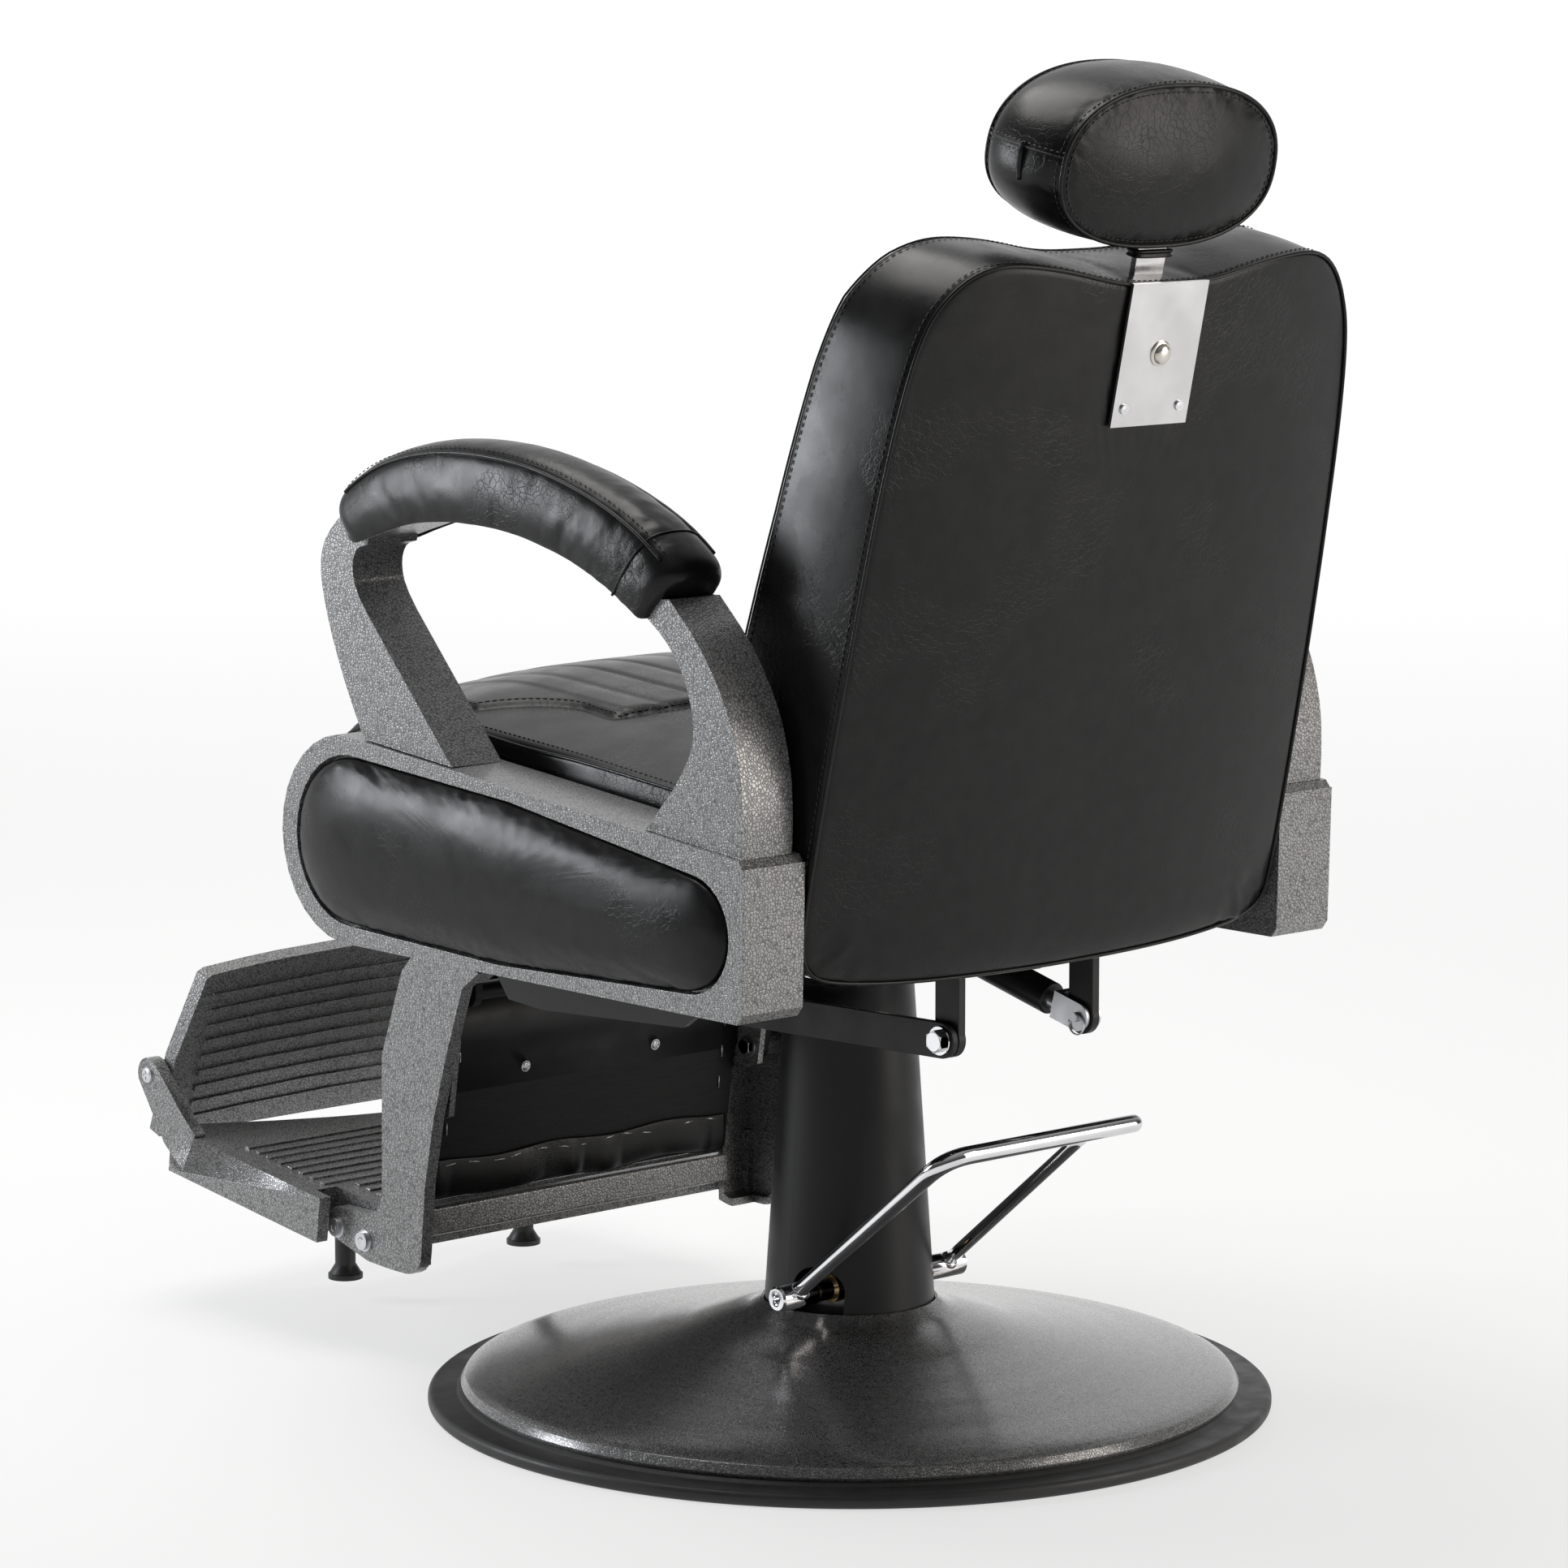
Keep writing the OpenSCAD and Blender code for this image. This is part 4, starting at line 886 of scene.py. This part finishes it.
def seat():
    """The seat cushion: a smooth field with a raised insert in front that has sewn channels."""
    low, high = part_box("seat_cushion")
    profile = side_profile("seat_cushion")
    columns = 150
    half = high.x
    xs = np.sin(np.linspace(-math.pi / 2, math.pi / 2, columns)) * 0.35 + np.linspace(-1, 1, columns) * 0.65
    rings = []
    inner = profile.mean(0)
    for u in xs:
        edge = (1 - abs(u)) * half
        roll = 0.012 * (1 - math.sqrt(max(0.0, 1 - (1 - min(1.0, edge / 0.012)) ** 2)))
        ring = []
        for y, z in profile:
            top = z > low.z + 0.06
            drop = 0.03 * abs(u) ** 2.6 if top else 0.0
            away = np.array([y, z]) - inner
            away /= max(np.linalg.norm(away), 1e-9)
            ring.append([u * half, y - away[0] * roll, z - away[1] * roll - drop])
        rings.append(ring)
    made = ringed("seat_leather", rings)
    points = points_of(made)
    normals = np.array([v.normal for v in made.data.vertices])
    out = normals * np.sign((normals * (points - points.mean(0))).sum(1))[:, None]
    for i, p in enumerate(points):
        if p[2] > low.z + 0.055:
            points[i] += out[i] * seat_relief(p[0], p[1])
    set_points(made, points)
    subdivide(made)
    finish_piece(made, "seat", "black_leather", ["seat_cushion"])
    skin = BVHTree.FromObject(made, bpy.context.evaluated_depsgraph_get())

    def on_top(x, y, lift=0.0):
        hit = skin.ray_cast(Vector((x, y, high.z + 0.1)), -Z)[0]
        return np.array(hit) + [0, 0, lift] if hit else np.array([x, y, high.z])

    for side, sign in SIDES.items():
        edge_x = sign * (half - 0.006)
        line = [on_top(edge_x, y) for y in np.linspace(low.y + 0.03, high.y - 0.012, 90)]
        welt(f"seat_{side}_piping", line, "seat", 0.0019, closed=False)
        beside = [on_top(edge_x - sign * 0.007, p[1], 0.0004) for p in line]
        stitches(f"seat_{side}_stitches", beside, "seat")
    border = [on_top(x * 0.97, y - 0.004, 0.0004) for x, y in insert_edge(90)]
    stitches("seat_insert_stitches", border, "seat")


def side_profile(name):
    """Convex side outline of a node as (y, z), evenly spaced with its corners rounded."""
    bm = welded(name)
    spots = np.array([[v.co.y, v.co.z] for v in bm.verts])
    bm.free()
    centre = np.array([spots[:, 0].mean(), (spots[:, 1].min() + spots[:, 1].max()) / 2])
    aims = np.linspace(-math.pi, math.pi, 240, endpoint=False)
    sides = np.stack([np.cos(aims), np.sin(aims)], 1)
    reach = ((spots - centre) @ sides.T).max(0)
    corners = [np.linalg.solve([a, b], [p, q]) + centre
               for a, b, p, q in zip(sides, np.roll(sides, -1, 0), reach, np.roll(reach, -1))]
    return relaxed(resample(corners, 260), 3)


INSERT_REAR, INSERT_PITCH = -0.072, 0.045


def insert_half(y):
    """Half width of the raised insert at y: waisted in the middle and wide in front."""
    return 0.168 + 0.075 * max(0.0, min(1.0, (-0.13 - y) / 0.09)) ** 1.6 + 0.012 * math.cos((y + 0.1) * 22)


def insert_edge(count):
    """Rear and side edges of the insert, from the left front corner round to the right one."""
    side = [(insert_half(y), y) for y in np.linspace(-0.25, INSERT_REAR - 0.02, count // 3)]
    rear = [(x, INSERT_REAR - 0.02 * abs(x / insert_half(INSERT_REAR)) ** 3)
            for x in np.linspace(insert_half(INSERT_REAR) - 0.012, 0, count // 6)]
    half = side + rear
    return half + [(-x, y) for x, y in reversed(half[:-1])]


def seat_relief(x, y):
    """Height of the top's relief: the raised insert, its sewn rim and the channels in it."""
    rear = INSERT_REAR - 0.02 * abs(x / 0.17) ** 3
    inside = min(insert_half(y) - abs(x), rear - y)
    rise = 0.004 * min(1.0, max(0.0, inside / 0.008)) ** 0.6 - 0.004
    groove = -0.0018 * math.exp(-(inside / 0.003) ** 2)
    channel = 0.0
    if abs(x) < 0.165 and inside > 0:
        phase = abs((x / INSERT_PITCH) % 1 - 0.5) * 2
        fade = min(1.0, inside / 0.012)
        channel = fade * (0.0012 * (1 - phase ** 4) - 0.0028 * phase ** 26)
    return rise + groove + channel


# ---- Calf pad and flip pad ----

def face_normal(name, hint):
    """Normal of the largest flat face of a node that looks roughly along hint."""
    bm = welded(name)
    best, size = Vector(hint), 0.0
    for f in bm.faces:
        if f.normal.dot(Vector(hint)) > 0.85 and f.calc_area() > size:
            best, size = f.normal.copy(), f.calc_area()
    bm.free()
    return best


def rectangle(low, high, radius, steps=8):
    """A flat rectangle with round corners, as (u, v) points."""
    points = []
    (left, bottom), (right, top) = np.array(low) + radius, np.array(high) - radius
    for x, y, a in ((right, top, 0), (left, top, 90), (left, bottom, 180), (right, bottom, 270)):
        for t in np.radians(np.linspace(a, a + 90, steps)):
            points.append((x + radius * math.cos(t), y + radius * math.sin(t)))
    return points


def calf_pad():
    """The padded front of the legrest, its backing and the seam round it."""
    front = -face_normal("calf_board", (0, 1, 0))
    up = Vector((0, front.z, -front.y)) * (-1 if front.y > 0 else 1)
    corners = [v.co for v in NODES["calf_pad"].data.vertices]
    heights = [p.dot(up) for p in corners]
    depths = [p.dot(front) for p in corners]
    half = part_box("calf_pad")[1].x
    flat = rectangle((-half, min(heights) + 0.003), (half, max(heights) - 0.002), 0.03)
    base = max(depths) - 0.026
    loop = np.array([[u, *(up * v + front * base)[1:]] for u, v in flat])
    line = dome_pad("calf_pad", loop, front, 0.025, 0.05, 0.002, "legrest", 0.004, 0.002)
    backing = [line - np.array(front) * d for d in (0.0, 0.012, 0.019)]
    backing[2][:, 0] *= 0.92
    finish_piece(ringed("calf_pad_backing", backing), "legrest", "black_leather")
    welt("calf_pad_piping", line, "legrest", 0.0022)


def flip_pad():
    front = face_normal("flip_pad", (0, -1, 0.3))
    loop = cap_loop("flip_pad", front) - np.array(front) * 0.008
    loop = relaxed(resample(loop, 150), 14)
    line = dome_pad("flip_pad", loop, front, 0.0105, 0.04, 0.0055, "flip", 0.003, 0.0016)
    welt("flip_pad_piping", line, "flip", 0.0017)


# ---- Turned pieces of the base ----

def turned_profile(name):
    """Upper outline of a turned CAD node as (radius, z), from the rim inwards."""
    spots = {}
    for v in NODES[name].data.vertices:
        r = round(math.hypot(v.co.x, v.co.y), 3)
        spots[r] = max(spots.get(r, -1.0), v.co.z)
    return sorted(spots.items(), reverse=True)


def arc(centre_r, centre_z, radius, first, last, steps=8):
    """Part of a circle as (radius, z) points. Angles are in degrees, 0 outwards and 90 upwards."""
    return [(centre_r + radius * math.cos(a), centre_z + radius * math.sin(a))
            for a in np.radians(np.linspace(first, last, steps))]


def base():
    """The pressed dome with its turned-in rim, and the rubber ring with its raised inner lip."""
    outer = turned_profile("base_dome")
    kept = [outer[0]]
    for r, z in outer[1:]:
        if z >= kept[-1][1] - 0.0005 and kept[-1][0] - r > 0.002:
            kept.append((r, z))
    curve = spline(kept, 8)
    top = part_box("base_ring")[1].z
    thick = 0.003
    under = [(r - thick, max(z - thick, top + 0.0005)) for r, z in reversed(kept[::3])]
    dome = lathe("base_dome_shell", [(kept[0][0] - 0.002, top + 0.0002), *curve, *under], 200)
    finish_piece(dome, "base", "dome_paint", ["base_dome"])
    inner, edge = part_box("base_plate")[1].x + 0.001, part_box("base_dome")[1].x
    lip, round_r = 0.003, 0.0048
    r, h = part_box("base_ring")[1].x - round_r, top - lip
    profile = [(inner, 0.0002), *arc(r, round_r, round_r, -90, 0), *arc(r, h - round_r, round_r, 0, 90),
               (edge + 0.0045, h), (edge + 0.0028, h + 0.0009), (edge + 0.0015, top), (inner, top)]
    ring = lathe("base_ring_rubber", profile, 220)
    finish_piece(ring, "base", "black_rubber", ["base_ring"])


# ---- Pedal ----

def pedal():
    """The chromed bar: two arms from the axle, the left one bent over into the foot bar."""
    axle_low, axle_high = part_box("pedal_axle")
    bar_low, bar_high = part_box("pedal_bar")
    y = next(j["pos_m"][1] for j in frame["joints"] if j["name"] == "pedal_press")
    z = (axle_low.z + axle_high.z) / 2
    arm_x, brace_x, r, turn_r = 0.087, -0.076, 0.008, 0.026
    bend = np.array([arm_x, bar_high.y - r, bar_high.z - r])
    foot = np.array([arm_x, y, z])
    rise = (bend - foot) / np.linalg.norm(bend - foot)
    before, after = bend - rise * turn_r, bend - [turn_r, 0, 0]
    curve = [(1 - t) ** 2 * before + 2 * t * (1 - t) * bend + t * t * after for t in np.linspace(0.1, 1, 10)]
    end = np.array([bar_low.x + r, bend[1], bend[2]])
    path = [foot + rise * 0.009, before - rise * 0.03, before, *curve, end + [0.02, 0, 0], end]
    tip = np.linspace(0.25, 1.5, 6)
    line = np.vstack([resample(path, 90, False), [end - [r * math.sin(a), 0, 0] for a in tip]])
    swell = 0.0066 + 0.0012 * np.clip((np.linspace(0, 1, 90) - 0.25) / 0.25, 0, 1)
    bar = tube("pedal_bar_chrome", line, [*swell, *(0.0078 * np.cos(tip))], 24)
    finish_piece(bar, "pedal", "chrome", ["pedal_bar"])
    far_foot, top = np.array([-arm_x, y, z]), np.array([brace_x, bend[1], bend[2]])
    run = (top - far_foot) / np.linalg.norm(top - far_foot)
    brace = resample([far_foot + run * 0.009, top - run * 0.004], 12, False)
    finish_piece(tube("pedal_bar_brace", brace, 0.0058, 20), "pedal", "chrome")
    eye_r, half = 0.011, axle_high.x
    shank = half - 0.042
    profile = [(0.0, half - 0.006), (0.0036, half - 0.006), (0.0040, half - 0.0005), (0.0048, half),
               (eye_r - 0.0018, half), (eye_r, half - 0.0018), (eye_r, shank + 0.0015),
               (eye_r - 0.001, shank), (0.0092, shank), (0.009, 0.001), (0.0, 0.0)]
    for side, sign in SIDES.items():
        eye = lathe(f"pedal_axle_{side}", profile, 48)
        points = points_of(eye)
        set_points(eye, np.stack([points[:, 2] * sign, points[:, 1] + y, points[:, 0] + z], 1))
        sharpen(eye)
        finish_piece(eye, "pedal", "chrome", ["pedal_axle"] if sign > 0 else ())
        weld = [np.array([sign * arm_x, y, z]) + rise * d for d in (0.0085, 0.0105, 0.0125)]
        finish_piece(tube(f"pedal_weld_{side}", weld, [0.0086, 0.0082, 0.0068], 20), "pedal", "chrome")


def sharpen(made, angle=40):
    """Keeps edges sharper than angle crisp on a smooth piece."""
    made.data.set_sharp_from_angle(angle=math.radians(angle))


# ---- Screws and bolts ----

def solids_of(name):
    """A node's separate solids: box, middle, side of the chair (1 or -1) and X of the outer face."""
    bm = welded(name)
    left = set(bm.verts)
    found = []
    while left:
        group, edge = set(), [next(iter(left))]
        while edge:
            v = edge.pop()
            if v in group:
                continue
            group.add(v)
            edge += [e.other_vert(v) for e in v.link_edges]
        left -= group
        co = np.array([v.co for v in group])
        low, high = co.min(0), co.max(0)
        middle = (low + high) / 2
        sign = 1 if middle[0] > 0 else -1
        found.append((low, high, middle, sign, high[0] if sign > 0 else low[0]))
    bm.free()
    return sorted(found, key=lambda b: tuple(np.round(b[0], 4)))


def place(made, at, axis):
    """Turns a piece built along +Z to point along axis and puts it at a point."""
    turn = Z.rotation_difference(Vector(axis)).to_matrix().to_4x4()
    made.data.transform(Matrix.Translation(Vector(at)) @ turn)
    return made


def cut(made, cutters, operation="DIFFERENCE"):
    """Takes shapes out of a piece, or keeps only what lies in them."""
    for cutter in cutters:
        modifier = made.modifiers.new("cut", "BOOLEAN")
        modifier.object = cutter
        modifier.operation = operation
        modifier.solver = "EXACT"
        apply_modifiers(made)
        bpy.data.objects.remove(cutter)
    return made


def hexagon(name, radius, low, high):
    return ringed(name, turned_rings([(radius, low), (radius, high)], 6))


def turned(name, profile, at, axis, body, slot, sides=40, angle=40, replaces=()):
    """A small turned piece along an axis."""
    made = lathe(name, profile, sides)
    sharpen(place(made, at, axis), angle)
    finish_piece(made, body, slot, replaces)


def button_bolt(name, at, axis, radius, height, body, slot="chrome"):
    """A domed bolt head with a hexagonal socket."""
    dome = [(0.0, -0.0002), (radius, -0.0002), (radius, height * 0.25)]
    dome += [(radius * math.cos(a), height * (0.25 + 0.75 * math.sin(a))) for a in np.linspace(0.15, 1.35, 8)]
    dome += [(0.0, height)]
    made = cut(lathe(name, dome, 40), [hexagon("socket", radius * 0.42, height * 0.3, height * 2)])
    sharpen(place(made, at, axis))
    finish_piece(made, body, slot)


def hex_bolt(name, at, axis, radius, height, body, slot="chrome"):
    """A hexagon head with chamfered corners on a washer."""
    cone = [(0.0, -0.001), (radius * 1.3, -0.001), (radius * 1.3, height * 0.45), (radius * 0.82, height),
            (0.0, height)]
    made = cut(hexagon(name, radius, 0.0012, height * 1.01), [lathe("cone", cone, 40)], "INTERSECT")
    sharpen(place(made, at, axis), 15)
    finish_piece(made, body, slot)
    ring = [(radius * 0.4, 0.0), (radius * 1.25, 0.0), (radius * 1.28, 0.0004), (radius * 1.25, 0.0014),
            (radius * 0.4, 0.0014)]
    turned(name + "_washer", ring, at, axis, body, slot)


def cross_screw(name, at, axis, radius, height, body, slot="zinc"):
    """A low pan head with a cross recess."""
    head = [(0.0, -0.0002), (radius, -0.0002), (radius, height * 0.3), (radius * 0.85, height * 0.75),
            (radius * 0.55, height), (0.0, height)]
    arms = []
    for turn in (0, math.pi / 2):
        bpy.ops.mesh.primitive_cube_add(size=1)
        arm = bpy.context.object
        size = Matrix.Diagonal((radius * 1.15, radius * 0.22, height, 1))
        arm.data.transform(Matrix.Translation((0, 0, height * 0.95)) @ Matrix.Rotation(turn, 4, "Z") @ size)
        arms.append(arm)
    made = cut(lathe(name, head, 36), arms)
    sharpen(place(made, at, axis))
    finish_piece(made, body, slot)


def fasteners():
    """Heads, washers and sockets on the CAD's screws and bolts."""
    for i, (low, high, middle, sign, edge) in enumerate(solids_of("leg_fasteners")):
        if abs(middle[0]) < 0.1:
            cross_screw(f"board_screw_{i}", [middle[0], high[1] - 0.0024, middle[2]],
                        face_normal("calf_board", (0, 1, 0)), 0.005, 0.0026, "legrest")
        elif high[1] - low[1] > 0.0155 and abs(edge) > 0.2:
            at = [edge - sign * 0.005, *middle[1:]]
            button_bolt(f"lug_bolt_{i}", at, X * sign, 0.008, 0.0055, "legrest")
            ring = [(0.003, 0), (0.0098, 0), (0.0098, 0.0012), (0.003, 0.0012)]
            turned(f"lug_washer_{i}", ring, [edge - sign * 0.0052, *middle[1:]], X * sign, "legrest", "zinc")
        else:
            inner = low[0] if sign > 0 else high[0]
            hex_bolt(f"arm_bolt_{i}", [inner + sign * 0.006, *middle[1:]], -X * sign, 0.008, 0.006, "legrest",
                     "zinc")
    dress("leg_fasteners", "zinc")
    low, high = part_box("link_bolt")
    hex_bolt("link_bolt_head", [high.x - 0.0072, *((low + high) / 2)[1:]], X, 0.0095, 0.0075, "back")
    for i, (low, high, middle, sign, edge) in enumerate(solids_of("plate_screws")):
        at = on_back(middle[0], 0.0024, height_on_back(middle))
        cross_screw(f"plate_screw_{i}", at, BACK_REAR, 0.0041, 0.0019, "back")
    for i, (low, high, middle, sign, edge) in enumerate(solids_of("flip_pins")):
        cross_screw(f"flip_screw_{i}", [edge - sign * 0.002, *middle[1:]], X * sign, 0.0072, 0.0028, "flip")


# ---- Headrest plate ----

def plate():
    """The polished plate with its channel, and the catch button on it."""
    rounded("headrest_bracket", 0.0005, "polished_plate", segments=2)
    depths, heights = back_spans("headrest_button")
    top, height = max(depths), (min(heights) + max(heights)) / 2
    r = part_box("headrest_button")[1].x
    head = [(0.0, -0.0155), (r, -0.0155), (r, top - 0.003), (r - 0.0006, top - 0.0016),
            (r - 0.002, top - 0.0006), (r - 0.0045, top), (0.0, top + 0.0003)]
    turned("headrest_button_cap", head, on_back(0, 0, height), BACK_REAR, "button", "nickel", 60, 60,
           ["headrest_button"])
    collar = [(r + 0.0004, 0.0), (r + 0.0026, 0.0), (r + 0.0026, 0.0012), (r + 0.0012, 0.0022),
              (r + 0.0004, 0.0022)]
    turned("headrest_button_collar", collar, on_back(0, 0.0022, height), BACK_REAR, "back", "nickel", 60)


# ---- Small things on the linkage and the legrest ----

def split_ring():
    """The wire ring through the clevis pin's end."""
    low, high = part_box("clevis_pin")
    at = np.array([high.x - 0.003, (low.y + high.y) / 2, (low.z + high.z) / 2])
    turns, r = 1.8, 0.0085
    path = [at + [0.0006 * math.cos(a * 0.5), r * math.sin(a) + 0.001, -0.006 + r * math.cos(a)]
            for a in np.linspace(0, 2 * math.pi * turns, 60)]
    finish_piece(tube("clevis_ring", path, 0.0007, 8), "spring_tube", "zinc")


def folded_leather():
    """Leather turned round the calf board's rear edge and stapled down."""
    normal = face_normal("calf_board", (0, 1, 0))
    up = Vector((0, -normal.z, normal.y))
    corners = [v.co for v in NODES["calf_board"].data.vertices]
    rear = max(p.dot(normal) for p in corners)
    heights = [p.dot(up) for p in corners]
    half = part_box("calf_board")[1].x
    bottom = min(heights)

    def spot(x, v, d):
        """The point at x, v above the board's lower edge and d off its rear face."""
        return np.array([x, *(up * (bottom + v) + normal * (rear + d))[1:]])

    rows = np.linspace(0, 1, 22)
    columns = np.linspace(-half + 0.006, half - 0.006, 120)
    points = []
    for t in rows:
        for x in columns:
            pleat = 0.0022 * math.sin(x * 95 + 2.0 * math.sin(x * 31)) * (1 - t) ** 0.7
            roll = 0.0035 * math.sin(math.pi * min(1, t * 1.02)) ** 0.6 * (1 - 0.5 * t)
            v = 0.002 + 0.034 * t + 0.002 * math.sin(x * 47)
            points.append(spot(x, v, 0.0012 + roll + max(0, pleat)))
    faces = ring_faces(len(rows), len(columns), closed=False)
    flap = mesh_object("calf_leather_flap", points, faces)
    flap.modifiers.new("thickness", "SOLIDIFY").thickness = 0.0011
    apply_modifiers(flap)
    finish_piece(flap, "legrest", "black_leather")
    staples = []
    for k in range(13):
        x = -half + 0.024 + k * (2 * half - 0.048) / 12 + 0.004 * math.sin(k * 2.3)
        staples.append((spot(x - 0.0055, 0.031 + 0.002 * math.sin(k * 1.7), 0.0036),
                        spot(x + 0.0055, 0.031 + 0.002 * math.sin(k * 1.7 + 1), 0.0036)))
    for k in range(4):
        for sign in (-1, 1):
            x, v = sign * (half - 0.016), 0.06 + k * 0.03
            staples.append((spot(x, v, 0.0012), spot(x + 0.001, v + 0.011, 0.0012)))
    sunk = np.array(normal) * 0.0012
    paths = [[a - sunk, a, b, b - sunk] for a, b in staples]
    finish_piece(string_of_tubes("calf_staples", paths, 0.00065, 6), "legrest", "zinc")
    band = [[spot(x, v, d) for x in np.linspace(-half, half, 80)]
            for v, d in ((0.098, 0.0004), (0.098, 0.0014), (0.204, 0.0014), (0.204, 0.0004))]
    cover = mesh_object("calf_board_rail", one_list(band), ring_faces(4, 80, closed=False))
    finish_piece(cover, "legrest", "satin_black_steel")


# ---- Carried-over CAD nodes and rounded castings ----

def dress(name, slot):
    """Gives a carried-over CAD node its material."""
    target = NODES[name]
    target.data.materials.clear()
    target.data.materials.append(MATERIALS[slot])


def castings():
    """Rounds the edges of the castings and of the other metal parts that show."""
    for side in SIDES:
        rounded(f"side_panel_{side}", 0.0065, "hammered_casting", segments=4)
        rounded(f"arm_frame_{side}", 0.0035, "hammered_casting")
        rounded(f"leg_bracket_{side}", 0.003, "hammered_casting")
    rounded("leg_cross_bar", 0.003, "hammered_casting")
    rounded("footplate", 0.0028, "hammered_casting")
    rounded("flip_panel", 0.0028, "hammered_casting")
    for name, width in (("seat_mount", 0.0012), ("seat_frame", 0.0015), ("back_frame", 0.0008),
                        ("link_bar", 0.0008), ("spring_clevis", 0.0008), ("lever_grip", 0.003),
                        ("headrest_bar", 0.0008), ("foot_bumpers", 0.0012), ("calf_board", 0.001),
                        ("spring_cylinder", 0.002)):
        rounded(name, width, SLOTS[name])


SLOTS = {s["node"]: s["material_slot"] for s in frame["record"]["subparts"]}
for node_name in NODES:
    dress(node_name, SLOTS[node_name])

base()
castings()
pedal()
fasteners()
plate()
split_ring()
folded_leather()
side_pads()
arm_pads()
seat()
upholstered_back()
headrest()
sleeve()
calf_pad()
flip_pad()


# ---- Floor, light and camera ----

def studio():
    """A pale floor that glows with painted light, dimmer near the chair and running into white towards the
    far side, and a world that lights the chair mostly from the far side.
    """
    far = 700
    corners = [(-far, -far, 0), (far, -far, 0), (far, far, 0), (-far, far, 0)]
    floor = mesh_object("studio_floor", corners, [(0, 1, 2, 3)])
    made, tree, shader, spot = start("studio_floor")
    shader.inputs["Base Color"].default_value = (0.3, 0.3, 0.3, 1)
    shader.inputs["Roughness"].default_value = 0.7
    shader.inputs["Specular IOR Level"].default_value = 0.1
    shader.inputs["Emission Color"].default_value = (1, 1, 1, 1)
    # Painted light: the floor's glow is weaker near the chair and stronger towards the far side, which also
    # paints its shadows fainter.
    join(tree, remap(tree, to_far_side(tree, spot), -0.8, 8.0, 0.6, 0.92), shader, "Emission Strength")
    floor.data.materials.append(made)
    world = bpy.data.worlds.new("studio")
    bpy.context.scene.world = world
    world.use_nodes = True
    tree = world.node_tree
    direction = add(tree, "TexCoord").outputs["Generated"]
    height = add(tree, "SeparateXYZ", {"Vector": direction}).outputs["Z"]
    level = remap(tree, to_far_side(tree, direction), 0.2, 0.95, 0.06, 0.9)
    lit = math_node(tree, "ADD", level, remap(tree, height, 0.3, 1.0, 0.0, 0.3))
    backdrop = math_node(tree, "MULTIPLY", add(tree, "LightPath").outputs["Is Camera Ray"], 0.9)
    background = tree.nodes["Background"]
    background.inputs["Color"].default_value = (1, 1, 1, 1)
    join(tree, math_node(tree, "MAXIMUM", lit, backdrop), background, "Strength")


def to_far_side(tree, vector):
    """How far a place or direction lies towards the chair's right front."""
    ahead = (-0.67, -0.74, 0)
    return add(tree, "VectorMath", {0: vector, 1: ahead}, operation="DOT_PRODUCT").outputs["Value"]


def area_light(name, at, target, size, power, colour):
    data = bpy.data.lights.new(name, "AREA")
    data.shape = "RECTANGLE"
    data.size, data.size_y = size
    data.energy = power
    data.color = colour
    made = bpy.data.objects.new(name, data)
    made.location = at
    made.rotation_euler = (Vector(target) - Vector(at)).to_track_quat("-Z", "Y").to_euler()
    bpy.context.scene.collection.objects.link(made)
    made.visible_camera = False


def camera():
    """Looks over the chair's left rear corner, from head height, through a long lens."""
    data = bpy.data.cameras.new("camera")
    data.sensor_width = 36
    data.lens = 129.75
    data.clip_end = 200
    made = bpy.data.objects.new("camera", data)
    made.location = (3.2129, 3.4818, 1.2197)
    made.rotation_mode = "QUATERNION"
    made.rotation_quaternion = Vector((-0.66246, -0.73522, -0.14349)).to_track_quat("-Z", "Y")
    bpy.context.scene.collection.objects.link(made)
    bpy.context.scene.camera = made


studio()
area_light("left_window", (2.1, -2.3, 1.2), (0, 0, 0.7), (0.8, 1.1), 46, (0.93, 0.96, 1.0))
area_light("rear_window", (-1.7, 2.7, 1.3), (0, 0, 0.6), (1.6, 2.3), 52, (1.0, 0.94, 0.88))
area_light("overhead", (0.2, -0.8, 3.0), (0, 0, 0.3), (1.8, 1.4), 42, (1.0, 0.98, 0.96))
bpy.context.scene.view_settings.view_transform = "Standard"
camera()
